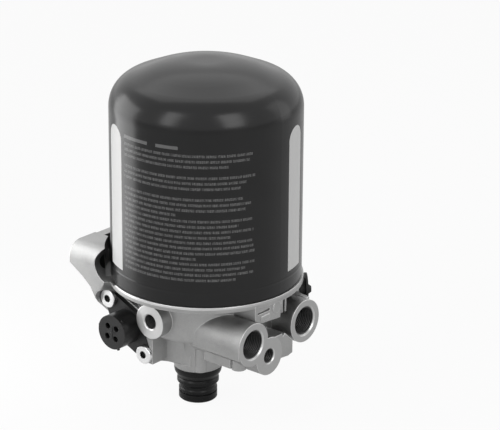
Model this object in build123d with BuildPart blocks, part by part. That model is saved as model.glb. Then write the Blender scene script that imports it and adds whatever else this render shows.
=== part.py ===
from build123d import *
from math import cos, radians, sin
import os

os.makedirs("parts", exist_ok=True)

# Vehicle air dryer with a spin-on desiccant cartridge.
# Frame: +Z up, +X out of the large ports, the mounting face is the plane X = 0.
# Origin: midway between the two upper mounting holes, on the mounting face.
# Heights called "level" are measured from the seat, the plane that the cartridge stands on.

# Main placing values
mount_gap = 8.5          # mounting face to the wall of the canister
seat_z = -9.0            # seat of the cartridge above the upper mounting holes
running_gap = 0.3        # gap between pieces that slide or are screwed together

# Canister
can_radius = 68.5
can_wall = 1.0
can_shoulder_level = 125.0   # end of the straight wall
can_shoulder_radius = 23.0   # large bend above the wall
can_cone_angle = 21.8        # slope of the shoulder above the bend
can_crown_radius = 87.0      # dished crown
can_crown_flat = 10.0        # radius of the flat centre
can_lip_width = 3.4          # rolled edge that holds the base plate
can_lip_thickness = 1.2

# Base plate of the cartridge
plate_thickness = 5.0
plate_collar_radius = 26.5
plate_collar_height = 9.0
plate_hole_radius = 4.0
plate_hole_circle = 40.0
plate_hole_count = 8
gasket_inner = 57.0
gasket_outer = 63.0
gasket_depth = 2.6           # how deep the gasket sits in the plate
seat_gap = 0.4               # seat plane to the top of the housing flange

# Threaded stud
stud_radius = 20.2
stud_bore = 12.0
stud_top_level = 12.0
stud_depth = 14.0            # length below the flange face
thread_clearance = 0.4

# Inside of the cartridge
cup_radius = 58.0
cup_wall = 1.5
cup_floor_thickness = 2.5
cup_height = 108.0
cup_drain_radius = 13.0
screen_thickness = 1.4
screen_hole_radius = 2.0
fleece_thickness = 3.0
cup_headroom = 24.0          # cup's rim above the beads
spring_wire = 1.5
separator_height = 24.0
press_spring_radius = 24.0
stud_seal_width = 2.6
stud_seal_height = 3.0
seal_groove_drop = 4.5       # top of the seal groove under the collar's top

# Housing
flange_reach = 1.3           # how far the flange stands out under the canister
flange_thickness = 4.2
drum_radius = 52.0
drum_low_level = -36.3
drum_cove = 3.0              # rounding between the flange and the drum
drum_edge = 3.0              # rounding of the drum's lower edge
drum_hollow = 2.0            # the underside falls this much towards the drain boss
boss_y = -9.0                # drain boss sits in front of the cartridge axis
boss_radius = 17.5
boss_draft = 2.0             # the boss is this much wider under the drum
boss_low_level = -69.5
post_x = 12.0                # upright post in front of the boss, round the drain passage
post_y = -19.8
post_radius = 4.8
post_rise = 1.2              # the post ends this much above the boss
drain_passage = 2.2
groove_inner = 28.0
groove_outer = 50.0
groove_depth = 6.0
sump_outer = 46.0
sump_depth = 20.0
sump_well = 6.0              # radius of the well that meets the inlet
dry_floor = -22.5            # bottom of the bore under the stud
dry_passage = 4.0            # radius of the dry air passage
dry_riser_x = 26.0           # where the passage meets the outlet port

# Large ports, on the +X side
port_face_x = 68.5           # port faces from the cartridge axis
port_spacing = 57.0
port_level = -29.5
port_outer = 15.8
port_thread = 10.19
port_thread_depth = 15.0
port_chamfer = 1.1
port_passage = 7.0
port_length = 48.5
band_height = 7.3            # flat band on the inlet barrel, below its middle
band_start_x = 26.0
band_step = 4.3              # the web stands this far behind the band
web_start_x = 33.0
web_end_x = 57.0
web_low_level = -47.0
column_radius = 5.2

# Small ports
small_thread = 5.19
small_thread_depth = 12.0
small_chamfer = 0.8
regen_y = -11.0
regen_level = -43.6
regen_outer = 14.0
pilot_x = 0.0
pilot_face_y = -60.7
pilot_level = -20.9
pilot_outer = 12.5
pilot_passage = 1.8
pilot_riser_y = -17.0
regen_passage = 1.6
regen_riser_x = 18.0
nozzle_radius = 2.6
nozzle_x = 50.0

# Mounting side
mount_spacing = 100.0
mount_drop = 59.0            # lower hole under the upper two
mount_boss = 11.0
mount_depth = 20.0
mount_web = 7.5
mount_relief = 1.5
mount_rib = 12.0
arm_length = 34.0
lower_boss_length = 34.0
arm_half_width = 61.0
can_clearance = 4.0          # free space between the canister and the mounting arms
scoop_radius = 14.0

# Heater socket, on the -Y side
pad_y = -50.0
ear_x = -44.8
ear_level = -16.5
ear_spacing = 34.1           # between the two ears along X, and the same in height
socket_plate = 3.8
socket_neck = 14.2
socket_radius = 12.7
socket_length = 16.4
ear_radius = 5.6
screw_head_radius = 6.8
screw_head_height = 2.6
screw_radius = 2.9
screw_length = 14.0
contact_circle = 5.6
contact_hole = 2.3
contact_pin = 0.9
pad_depth = 13.0
pad_rim = 0.9                # the pad is this much wider than the socket's plate
heater_radius = 4.0
heater_depth = 38.0          # length of the rod behind the pad
heater_boss = 9.0
block_side = 6.8             # lower ear to the right side of its block
block_top_level = -37.7
block_low_level = -57.0
socket_clearance = 0.4       # free space round the socket's plate
seal_circle = 9.0

# Drain valve
valve_bore = 11.0
valve_piston_top = -28.5
valve_piston_height = 5.0
valve_stroke = 3.0
valve_stem = 3.0
valve_seat_radius = 7.0
valve_seat_level = -54.0
valve_disc_radius = 9.0
valve_disc_height = 3.2
guide_top = -41.0            # floor of the piston bore
chamber_mid_level = -47.5

# Exhaust stub
stub_bore = 10.4
stub_low_level = -95.3
stub_spigot = 12.2
stub_spigot_top = -60.5
stub_rim = 13.95
stub_waist = 13.45

# Check valve behind the outlet port
check_bore = 8.6
check_seat_x = 34.0
check_disc_radius = 7.6
check_stroke = 3.0
check_passage = 5.0
check_cage_x = 46.0

# Governor, 45 degrees between +X and +Y
governor_angle = 45.0
governor_level = -16.5
governor_outer = 7.0
governor_bore = 5.5
governor_bottom = 52.0
governor_face = 71.1
governor_stroke = 1.5
cap_disc_radius = 12.0
cap_disc_thickness = 1.7
cap_nose = 3.1
cap_skirt_length = 4.5
cap_skirt_wall = 1.2

# Derived places
axis_x = mount_gap + can_radius
can_axis = Plane(origin=(axis_x, 0, seat_z))
half_section = Plane(origin=(axis_x, 0, seat_z), x_dir=(1, 0, 0), z_dir=(0, -1, 0))
turn_axis = Axis((axis_x, 0, seat_z), (0, 0, 1))
drain_axis = Axis((axis_x, boss_y, seat_z), (0, 0, 1))
drain_section = Plane(origin=(axis_x, boss_y, seat_z), x_dir=(1, 0, 0), z_dir=(0, -1, 0))
mount_plane = Plane(origin=(0, 0, 0), x_dir=(0, 1, 0), z_dir=(1, 0, 0))
flange_top = -seat_gap
flange_low = flange_top - flange_thickness
flange_radius = can_radius + flange_reach
plate_front_y = pad_y - socket_plate
block_x = ear_x + ear_spacing + block_side
drum_floor_level = drum_low_level - drum_hollow
clearance_radius = can_radius + can_clearance
inner_radius = can_radius - can_wall
plate_low = can_lip_thickness
plate_top = plate_low + plate_thickness
plate_radius = inner_radius - 0.2
collar_top = plate_top + plate_collar_height
ear2_x = ear_x + ear_spacing
ear2_level = ear_level - ear_spacing
socket_x = (ear_x + ear2_x) / 2
socket_level = (ear_level + ear2_level) / 2
port_ys = (-port_spacing / 2, port_spacing / 2)
governor_plane = Plane(
    origin=(axis_x, 0, seat_z + governor_level), x_dir=(-1, 1, 0), z_dir=(1, 1, 0)
)


def port_plane(y, level, x=port_face_x):
    return Plane(origin=(axis_x + x, y, seat_z + level), x_dir=(0, 1, 0), z_dir=(1, 0, 0))


def front_plane(x, level, y):
    return Plane(origin=(axis_x + x, y, seat_z + level), x_dir=(1, 0, 0), z_dir=(0, -1, 0))


# Housing: one die casting
with BuildPart() as housing:
    # flange and drum
    with BuildSketch(half_section):
        with BuildLine():
            Polyline(
                (0, flange_top),
                (flange_radius, flange_top),
                (flange_radius, flange_low),
                (drum_radius + drum_cove, flange_low),
            )
            CenterArc((drum_radius + drum_cove, flange_low - drum_cove), drum_cove, 90, 90)
            Line((drum_radius, flange_low - drum_cove), (drum_radius, drum_low_level + drum_edge))
            CenterArc((drum_radius - drum_edge, drum_low_level + drum_edge), drum_edge, 0, -90)
            Polyline(
                (drum_radius - drum_edge, drum_low_level),
                (boss_radius, drum_floor_level),
                (0, drum_floor_level),
                (0, flange_top),
            )
        make_face()
    revolve(axis=turn_axis)
    # gusset between the socket pad and the drain boss, with a sloping underside
    with BuildSketch(can_axis.offset(boss_low_level)):
        with BuildLine():
            ThreePointArc(
                (block_x - 1.0, pad_y + pad_depth / 2),
                (block_x - 7.5, pad_y + pad_depth + 2.5),
                (-0.8 * boss_radius, boss_y - 0.7 * boss_radius),
            )
            Polyline(
                (-0.8 * boss_radius, boss_y - 0.7 * boss_radius),
                (-0.5 * boss_radius, boss_y),
                (-0.9 * boss_radius, boss_y),
                (ear_x + 6.0, pad_y + pad_depth),
                (ear_x + 6.0, pad_y + pad_depth / 2),
                (block_x - 1.0, pad_y + pad_depth / 2),
            )
        make_face()
    extrude(amount=drum_floor_level + 2.0 - boss_low_level)
    with BuildSketch(Plane(origin=(axis_x + block_x, 0, seat_z), x_dir=(0, 1, 0), z_dir=(1, 0, 0))):
        with BuildLine():
            Polyline(
                (pad_y - 1.0, boss_low_level - 1.0),
                (pad_y - 1.0, block_low_level + 1.0),
                (pad_y + pad_depth / 2, block_low_level + 1.0),
                (boss_y - 0.7 * boss_radius, boss_low_level),
                (boss_y + 1.0, boss_low_level),
                (boss_y + 1.0, boss_low_level - 1.0),
                (pad_y - 1.0, boss_low_level - 1.0),
            )
        make_face()
    extrude(amount=ear_x - block_x, mode=Mode.SUBTRACT)
    with BuildSketch(front_plane(0, 0, pad_y)):
        with BuildLine():
            Polyline(
                (ear_x - 1.0, boss_low_level - 1.0),
                (ear_x - 1.0, ear_level - 12.0),
                (ear_x + 6.0, ear_level - 22.0),
                (ear2_x - 8.0, block_low_level + 1.0),
                (-0.7 * boss_radius, boss_low_level - 1.0),
                (ear_x - 1.0, boss_low_level - 1.0),
            )
        make_face()
    extrude(amount=pad_y, mode=Mode.SUBTRACT)
    # drain boss with its draft
    with BuildSketch(drain_section):
        with BuildLine():
            Polyline(
                (0, boss_low_level),
                (boss_radius, boss_low_level),
                (boss_radius + boss_draft, drum_floor_level),
                (boss_radius + boss_draft, drum_floor_level + 4.0),
                (0, drum_floor_level + 4.0),
                (0, boss_low_level),
            )
        make_face()
    revolve(axis=drain_axis)
    # post round the drain passage
    with BuildSketch(can_axis.offset(boss_low_level + post_rise)):
        with Locations((post_x, post_y)):
            Circle(post_radius)
    extrude(amount=drum_floor_level + 2.0 - boss_low_level - post_rise)
    # pad behind the socket plate, and the block round the lower ear
    with BuildSketch(front_plane(0, 0, pad_y)):
        with Locations((socket_x, socket_level)):
            Circle(socket_neck + pad_rim)
        with Locations((ear_x, ear_level), (ear2_x, ear2_level)):
            Circle(ear_radius + pad_rim)
        make_hull()
    extrude(amount=-pad_depth)
    with BuildSketch(front_plane(0, 0, plate_front_y + 0.2)):
        with BuildLine():
            Polyline(
                (block_x, block_top_level),
                (block_x, block_low_level),
                (ear2_x - 2.0, block_low_level),
                (ear2_x - 5.0, block_low_level + 3.0),
                (ear2_x - 5.0, block_top_level),
                (block_x, block_top_level),
            )
        make_face()
    extrude(amount=plate_front_y + 0.2 - pad_y - pad_depth)
    # boss round the heater rod
    with BuildSketch(front_plane(socket_x, socket_level, pad_y)):
        Circle(heater_boss)
    extrude(amount=-(heater_depth + 3.0))
    # mounting plate with its three bosses
    with BuildSketch(mount_plane.offset(mount_relief)):
        with Locations((-mount_spacing / 2, 0), (mount_spacing / 2, 0), (0, -mount_drop)):
            Circle(mount_boss)
        make_hull()
    extrude(amount=mount_web)
    with BuildSketch(mount_plane):
        with Locations((0, -mount_drop)):
            Circle(mount_boss)
    extrude(amount=lower_boss_length)
    with BuildSketch(mount_plane):
        for side in (-1, 1):
            with Locations((side * mount_spacing / 2, 0)):
                Circle(mount_boss)
            with Locations((side * (mount_spacing / 2 - 8.0), 0)):
                Rectangle(16.0, 2 * mount_boss)
    extrude(amount=arm_length)
    # sloping struts from the upper bosses down to the drum
    for side in (-1, 1):
        strut_outer = Plane(origin=(0, side * arm_half_width, 0), x_dir=(1, 0, 0), z_dir=(0, -1, 0))
        with BuildSketch(strut_outer):
            with BuildLine():
                Polyline(
                    (0, 0),
                    (0, -4.0),
                    (13.0, -12.0),
                    (20.0, -17.7),
                    (26.0, -27.0),
                    (28.0, -21.0),
                    (33.0, -13.0),
                    (37.0, 0),
                    (0, 0),
                )
            make_face()
        with BuildSketch(strut_outer.offset(side * 17.0)):
            with BuildLine():
                Polyline(
                    (0, 0),
                    (0, -11.0),
                    (7.0, -22.0),
                    (14.0, -32.0),
                    (22.0, -42.0),
                    (38.0, -42.0),
                    (42.0, -20.0),
                    (42.0, 0),
                    (0, 0),
                )
            make_face()
        loft(ruled=True)
        with BuildSketch(strut_outer.offset(side * 17.0)):
            with BuildLine():
                Polyline(
                    (0, 0),
                    (0, -11.0),
                    (7.0, -22.0),
                    (14.0, -32.0),
                    (22.0, -42.0),
                    (38.0, -42.0),
                    (42.0, -20.0),
                    (42.0, 0),
                    (0, 0),
                )
            make_face()
        extrude(amount=side * 12.0)
    # machined space for the socket plate and its two ears
    with BuildSketch(front_plane(0, 0, pad_y)):
        with Locations((socket_x, socket_level)):
            Circle(socket_neck + socket_clearance)
        with Locations((ear_x, ear_level), (ear2_x, ear2_level)):
            Circle(ear_radius + socket_clearance)
        make_hull()
    extrude(amount=30.0, mode=Mode.SUBTRACT)
    with BuildSketch(front_plane(0, 0, plate_front_y + 0.2)):
        with Locations((ear_x, ear_level), (ear2_x, ear2_level)):
            Circle(screw_head_radius + socket_clearance)
    extrude(amount=30.0, mode=Mode.SUBTRACT)
    # rib between the mounting plate, the drum and the drain boss
    with BuildSketch(Plane(origin=(0, -mount_rib / 2, 0), x_dir=(1, 0, 0), z_dir=(0, -1, 0))):
        with BuildLine():
            Polyline(
                (mount_relief, -4.0),
                (mount_relief, -mount_drop),
                (mount_relief + mount_web, -mount_drop - 0.8 * mount_boss),
                (lower_boss_length, -mount_drop - 0.8 * mount_boss),
                (axis_x - 6.0, seat_z + boss_low_level + 4.0),
                (axis_x - 6.0, seat_z + drum_low_level + 2.0),
                (axis_x - drum_radius + 4.0, seat_z + drum_low_level + 2.0),
                (axis_x - drum_radius + 4.0, -14.0),
                (mount_relief, -4.0),
            )
        make_face()
    extrude(amount=-mount_rib)
    # free space round the canister, above the flange
    with BuildSketch(can_axis.offset(flange_top)):
        Circle(clearance_radius)
    extrude(amount=can_shoulder_level, mode=Mode.SUBTRACT)
    # rounded scoops in the ends of the arms
    for side in (-1, 1):
        with BuildSketch(Plane(origin=(0, side * 50.5, 0), x_dir=(1, 0, 0), z_dir=(0, side, 0))):
            with Locations((axis_x - 38.5, side * -2.0)):
                Circle(scoop_radius)
        extrude(amount=12.0, mode=Mode.SUBTRACT)

    # large port barrels
    for y in port_ys:
        with BuildSketch(port_plane(y, port_level)):
            Circle(port_outer)
        extrude(amount=-port_length)
    # regeneration port with its side block
    with BuildSketch(port_plane(regen_y, regen_level)):
        Circle(regen_outer)
    extrude(amount=-34.0)
    with BuildSketch(port_plane(regen_y, regen_level)):
        Circle(regen_outer - 5.0)
    extrude(amount=regen_riser_x - port_face_x - 4.0)
    with BuildSketch(port_plane(0, 0)):
        with BuildLine():
            Polyline(
                (regen_y, -31.0),
                (3.0, -31.0),
                (4.0, -33.5),
                (6.0, -31.5),
                (14.7, -39.7),
                (14.7, -49.0),
                (9.8, -50.2),
                (2.0, -49.4),
                (regen_y, -52.0),
                (regen_y, -31.0),
            )
        make_face()
    extrude(amount=-28.0)
    # flat band along the inlet barrel
    band_y = port_ys[0] - port_outer
    with BuildSketch(front_plane(0, 0, band_y)):
        with BuildLine():
            Polyline(
                (port_face_x, port_level),
                (port_face_x, port_level - band_height),
                (band_start_x, port_level - band_height),
                (band_start_x, port_level),
                (port_face_x, port_level),
            )
        make_face()
    extrude(amount=-port_outer)
    # set-back web under the band, and a round column at its end
    with BuildSketch(front_plane(0, 0, band_y + band_step)):
        with BuildLine():
            Polyline(
                (web_end_x, port_level),
                (web_end_x, web_low_level),
                (web_start_x, web_low_level),
                (web_start_x, port_level),
                (web_end_x, port_level),
            )
        make_face()
    extrude(amount=-12.0)
    with BuildSketch(can_axis.offset(web_low_level - 0.5)):
        with Locations((web_end_x + 3.5, band_y + band_step + column_radius)):
            Circle(column_radius)
    extrude(amount=port_level - web_low_level - 2.0)
    # web on the outer side of the outlet barrel
    with BuildSketch(Plane(origin=(axis_x, 36.0, seat_z), x_dir=(1, 0, 0), z_dir=(0, -1, 0))):
        with BuildLine():
            Polyline(
                (40.0, flange_low),
                (51.0, flange_low),
                (51.0, -13.5),
                (64.5, -14.8),
                (64.5, -26.0),
                (40.0, -26.0),
                (40.0, flange_low),
            )
        make_face()
    extrude(amount=2.0, both=True)
    # bare pad between the two large ports
    with BuildSketch(port_plane(0, 0, 66.0)):
        with BuildLine():
            Polyline(
                (-23.7, -3.5),
                (-23.7, -14.0),
                (-17.0, -17.4),
                (3.6, -19.2),
                (5.3, -3.5),
                (-23.7, -3.5),
            )
        make_face()
    extrude(amount=-20.0)
    with BuildSketch(port_plane(0, 0, 66.6)):
        with Locations((-13.0, -14.0)):
            Rectangle(9.0, 3.4)
        with Locations((-0.5, -9.9)):
            Circle(4.2)
    extrude(amount=-3.0)
    with BuildSketch(port_plane(0, 0, 66.0)):
        with Locations((-14.5, -9.2)):
            Rectangle(13.0, 1.6)
    extrude(amount=-2.0, mode=Mode.SUBTRACT)
    # two upright ribs beside the pad
    with BuildSketch(port_plane(0, 0, 64.0)):
        with Locations((8.2, -11.0), (12.0, -11.0)):
            Rectangle(1.6, 14.0)
    extrude(amount=-16.0)
    # pilot port on the front side
    with BuildSketch(front_plane(pilot_x, pilot_level, pilot_face_y)):
        Circle(pilot_outer)
    extrude(amount=-22.0)
    # governor barrel
    with BuildSketch(governor_plane.offset(30.0)):
        Circle(governor_outer)
    extrude(amount=governor_face - 30.0)

    # air groove under the base plate
    with BuildSketch(can_axis.offset(flange_top)):
        Circle(groove_outer)
        Circle(groove_inner, mode=Mode.SUBTRACT)
    extrude(amount=-groove_depth, mode=Mode.SUBTRACT)
    # sump that the inlet opens into
    with BuildSketch(can_axis.offset(flange_top - groove_depth)):
        Circle(sump_outer)
        Circle(groove_inner, mode=Mode.SUBTRACT)
        with BuildLine():
            Polyline(
                (0, 0),
                (90.0 * cos(radians(-76.0)), 90.0 * sin(radians(-76.0))),
                (90.0 * cos(radians(-12.0)), 90.0 * sin(radians(-12.0))),
                (0, 0),
            )
        make_face(mode=Mode.INTERSECT)
    extrude(amount=-sump_depth, mode=Mode.SUBTRACT)
    with BuildSketch(can_axis.offset(flange_top - groove_depth - sump_depth + 1.0)):
        with Locations((sump_outer - sump_well - 2.0, port_ys[0])):
            Circle(sump_well)
    extrude(amount=-7.0, mode=Mode.SUBTRACT)
    # bore of the threaded stud and the dry air passage below it
    with BuildSketch(can_axis.offset(flange_top)):
        Circle(stud_radius)
    extrude(amount=-stud_depth, mode=Mode.SUBTRACT)
    with BuildSketch(can_axis.offset(flange_top)):
        Circle(stud_bore)
    extrude(amount=dry_floor - flange_top, mode=Mode.SUBTRACT)
    dry_run = Plane(
        origin=(axis_x, 0, seat_z + dry_floor + 1.1 * dry_passage), z_dir=(dry_riser_x, port_ys[1], 0)
    )
    with BuildSketch(dry_run):
        Circle(dry_passage)
    extrude(amount=(dry_riser_x**2 + port_ys[1] ** 2) ** 0.5, mode=Mode.SUBTRACT)
    with BuildSketch(can_axis.offset(dry_floor + 2 * dry_passage)):
        with Locations((dry_riser_x, port_ys[1])):
            Circle(dry_passage)
    extrude(amount=port_level - dry_floor - 2 * dry_passage, mode=Mode.SUBTRACT)
    with BuildSketch(port_plane(port_ys[1], port_level, check_seat_x)):
        Circle(check_passage)
    extrude(amount=dry_riser_x - check_seat_x, mode=Mode.SUBTRACT)

    # large ports: thread bore, chamfer and passage
    for y in port_ys:
        with BuildSketch(port_plane(y, port_level)):
            Circle(port_thread)
        extrude(amount=-port_thread_depth, mode=Mode.SUBTRACT)
        with BuildSketch(port_plane(y, port_level)):
            Circle(port_thread + port_chamfer)
        extrude(amount=-port_chamfer, taper=45, mode=Mode.SUBTRACT)
    with BuildSketch(port_plane(port_ys[0], port_level)):
        Circle(port_passage)
    extrude(amount=-(port_face_x - 34.0), mode=Mode.SUBTRACT)
    with BuildSketch(port_plane(port_ys[1], port_level)):
        Circle(check_bore)
    extrude(amount=-(port_face_x - check_seat_x), mode=Mode.SUBTRACT)
    # regeneration port with its narrow passage to the stud
    with BuildSketch(port_plane(regen_y, regen_level)):
        Circle(small_thread)
    extrude(amount=-small_thread_depth, mode=Mode.SUBTRACT)
    with BuildSketch(port_plane(regen_y, regen_level)):
        Circle(small_thread + small_chamfer)
    extrude(amount=-small_chamfer, taper=45, mode=Mode.SUBTRACT)
    with BuildSketch(port_plane(regen_y, regen_level)):
        Circle(nozzle_radius + 0.05)
    extrude(amount=-(port_face_x - nozzle_x), mode=Mode.SUBTRACT)
    with BuildSketch(port_plane(regen_y, regen_level)):
        Circle(regen_passage)
    extrude(amount=-(port_face_x - regen_riser_x), mode=Mode.SUBTRACT)
    with BuildSketch(can_axis.offset(regen_level)):
        with Locations((regen_riser_x, regen_y)):
            Circle(regen_passage)
    extrude(amount=dry_floor + 4.0 - regen_level, mode=Mode.SUBTRACT)
    with BuildSketch(Plane(origin=(axis_x, regen_y, seat_z + dry_floor + 3.0), z_dir=(1, 0, 0))):
        Circle(regen_passage)
    extrude(amount=regen_riser_x, mode=Mode.SUBTRACT)
    # pilot port and its passage to the drain piston
    with BuildSketch(front_plane(pilot_x, pilot_level, pilot_face_y)):
        Circle(small_thread)
    extrude(amount=-small_thread_depth, mode=Mode.SUBTRACT)
    with BuildSketch(front_plane(pilot_x, pilot_level, pilot_face_y)):
        Circle(small_thread + small_chamfer)
    extrude(amount=-small_chamfer, taper=45, mode=Mode.SUBTRACT)
    with BuildSketch(front_plane(pilot_x, pilot_level, pilot_face_y)):
        Circle(pilot_passage)
    extrude(amount=pilot_face_y - pilot_riser_y, mode=Mode.SUBTRACT)
    with BuildSketch(can_axis.offset(pilot_level)):
        with Locations((pilot_x, pilot_riser_y)):
            Circle(pilot_passage)
    extrude(amount=valve_piston_top + 1.0 - pilot_level, mode=Mode.SUBTRACT)

    # drain valve: piston bore, stem guide, valve chamber, seat and exhaust
    with BuildSketch(drain_section):
        with BuildLine():
            Polyline(
                (0, valve_piston_top + 2.5),
                (valve_bore, valve_piston_top + 2.5),
                (valve_bore, guide_top),
                (valve_stem + running_gap, guide_top),
                (valve_stem + running_gap, guide_top - 3.0),
                (9.5, guide_top - 3.0),
                (9.5, valve_seat_level + 3.0),
                (valve_seat_radius, valve_seat_level + 3.0),
                (valve_seat_radius, valve_seat_level),
                (stub_spigot + 0.1, valve_seat_level),
                (stub_spigot + 0.1, boss_low_level),
                (0, boss_low_level),
                (0, valve_piston_top + 2.5),
            )
        make_face()
    revolve(axis=drain_axis, mode=Mode.SUBTRACT)
    # drain passage: out of the sump, down the post and into the valve chamber
    post_distance = (post_x**2 + post_y**2) ** 0.5
    sump_floor = flange_top - groove_depth - sump_depth
    post_run = Plane(
        origin=(axis_x + post_x, post_y, seat_z + sump_floor + 0.6 * drain_passage),
        z_dir=(post_x, post_y, 0),
    )
    with BuildSketch(post_run):
        Circle(drain_passage)
    extrude(amount=groove_inner + 3.0 - post_distance, mode=Mode.SUBTRACT)
    with BuildSketch(can_axis.offset(sump_floor + drain_passage)):
        with Locations((post_x, post_y)):
            Circle(drain_passage)
    extrude(amount=chamber_mid_level - sump_floor - drain_passage, mode=Mode.SUBTRACT)
    valve_run = Plane(
        origin=(axis_x + post_x, post_y, seat_z + chamber_mid_level),
        z_dir=(-post_x, boss_y - post_y, 0),
    )
    with BuildSketch(valve_run):
        Circle(drain_passage)
    extrude(amount=8.0, mode=Mode.SUBTRACT)

    # governor bore
    with BuildSketch(governor_plane.offset(governor_bottom)):
        Circle(governor_bore)
    extrude(amount=governor_face - governor_bottom, mode=Mode.SUBTRACT)
    # mounting holes
    with BuildSketch(mount_plane):
        with Locations((-mount_spacing / 2, 0), (mount_spacing / 2, 0), (0, -mount_drop)):
            Circle(small_thread)
    extrude(amount=mount_depth, mode=Mode.SUBTRACT)
    # heater bore, seal recess and screw holes in the socket pad
    with BuildSketch(front_plane(socket_x, socket_level, pad_y)):
        Circle(heater_radius + running_gap)
    extrude(amount=-(heater_depth + 1.0), mode=Mode.SUBTRACT)
    with BuildSketch(front_plane(socket_x, socket_level, pad_y)):
        Circle(seal_circle + 1.2)
        Circle(seal_circle - 1.2, mode=Mode.SUBTRACT)
    extrude(amount=-1.6, mode=Mode.SUBTRACT)
    with BuildSketch(front_plane(0, 0, pad_y)):
        with Locations((ear_x, ear_level), (ear2_x, ear2_level)):
            Circle(screw_radius - 0.4)
    extrude(amount=-(screw_length - socket_plate + 1.0), mode=Mode.SUBTRACT)


# Hollow stud pressed and glued into the casting; its thread carries the cartridge
with BuildPart() as threaded_stud:
    with BuildSketch(half_section):
        with BuildLine():
            Polyline(
                (stud_bore, flange_top - stud_depth),
                (stud_radius, flange_top - stud_depth),
                (stud_radius, stud_top_level - 1.5),
                (stud_radius - 1.5, stud_top_level),
                (stud_bore + 1.0, stud_top_level),
                (stud_bore, stud_top_level - 1.0),
                (stud_bore, flange_top - stud_depth),
            )
        make_face()
    revolve(axis=turn_axis)

# Canister: deep drawn shell with a domed top and a rolled edge
bend_x = can_radius - can_shoulder_radius
cone_start_x = bend_x + can_shoulder_radius * sin(radians(can_cone_angle))
cone_start_z = can_shoulder_level + can_shoulder_radius * cos(radians(can_cone_angle))
crown_x = can_crown_flat + can_crown_radius * sin(radians(can_cone_angle))
cone_end_z = cone_start_z + (cone_start_x - crown_x) * sin(radians(can_cone_angle)) / cos(radians(can_cone_angle))
crown_centre_z = cone_end_z - can_crown_radius * cos(radians(can_cone_angle))
crown_top_level = crown_centre_z + can_crown_radius
with BuildPart() as canister_shell:
    with BuildSketch(half_section):
        with BuildLine():
            Line((0, 0), (can_radius, 0))
            Line((can_radius, 0), (can_radius, can_shoulder_level))
            CenterArc((bend_x, can_shoulder_level), can_shoulder_radius, 0, 90 - can_cone_angle)
            Line((cone_start_x, cone_start_z), (crown_x, cone_end_z))
            CenterArc(
                (can_crown_flat, crown_centre_z), can_crown_radius, 90 - can_cone_angle, can_cone_angle
            )
            Line((can_crown_flat, crown_top_level), (0, crown_top_level))
            Line((0, crown_top_level), (0, 0))
        make_face()
        with BuildLine():
            Line((0, can_lip_thickness), (inner_radius, can_lip_thickness))
            Line((inner_radius, can_lip_thickness), (inner_radius, can_shoulder_level))
            CenterArc(
                (bend_x, can_shoulder_level), can_shoulder_radius - can_wall, 0, 90 - can_cone_angle
            )
            Line(
                (
                    cone_start_x - can_wall * sin(radians(can_cone_angle)),
                    cone_start_z - can_wall * cos(radians(can_cone_angle)),
                ),
                (
                    crown_x - can_wall * sin(radians(can_cone_angle)),
                    cone_end_z - can_wall * cos(radians(can_cone_angle)),
                ),
            )
            CenterArc(
                (can_crown_flat, crown_centre_z),
                can_crown_radius - can_wall,
                90 - can_cone_angle,
                can_cone_angle,
            )
            Line((can_crown_flat, crown_top_level - can_wall), (0, crown_top_level - can_wall))
            Line((0, crown_top_level - can_wall), (0, can_lip_thickness))
        make_face(mode=Mode.SUBTRACT)
    revolve(axis=turn_axis)
    with BuildSketch(can_axis):
        Circle(can_radius - can_lip_width)
    extrude(amount=can_lip_thickness, mode=Mode.SUBTRACT)

# Base plate with a threaded collar, inlet holes and the gasket groove
with BuildPart() as base_plate:
    with BuildSketch(half_section):
        with BuildLine():
            Polyline(
                (stud_radius + thread_clearance, plate_low),
                (plate_radius, plate_low),
                (plate_radius, plate_top),
                (plate_collar_radius, plate_top),
                (plate_collar_radius, collar_top),
                (stud_radius + thread_clearance, collar_top),
                (stud_radius + thread_clearance, plate_low),
            )
        make_face()
    revolve(axis=turn_axis)
    with BuildSketch(can_axis.offset(plate_low)):
        Circle(gasket_outer + 0.2)
        Circle(gasket_inner - 0.2, mode=Mode.SUBTRACT)
    extrude(amount=gasket_depth, mode=Mode.SUBTRACT)
    with BuildSketch(can_axis.offset(plate_low)):
        with PolarLocations(plate_hole_circle, plate_hole_count):
            Circle(plate_hole_radius)
    extrude(amount=plate_thickness, mode=Mode.SUBTRACT)
    # groove for the stud seal near the collar's top
    with BuildSketch(can_axis.offset(collar_top - seal_groove_drop)):
        Circle(stud_radius + thread_clearance + stud_seal_width)
        Circle(stud_radius, mode=Mode.SUBTRACT)
    extrude(amount=-stud_seal_height, mode=Mode.SUBTRACT)

# Rubber gasket that seals the base plate on the housing flange
with BuildPart() as cartridge_gasket:
    with BuildSketch(can_axis.offset(flange_top)):
        Circle(gasket_outer)
        Circle(gasket_inner, mode=Mode.SUBTRACT)
    extrude(amount=plate_low + gasket_depth - flange_top)

# Seal between the collar and the stud
with BuildPart() as stud_seal:
    with BuildSketch(can_axis.offset(collar_top - seal_groove_drop)):
        Circle(stud_radius + thread_clearance + stud_seal_width - 0.1)
        Circle(stud_radius + 0.1, mode=Mode.SUBTRACT)
    extrude(amount=-stud_seal_height)

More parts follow.
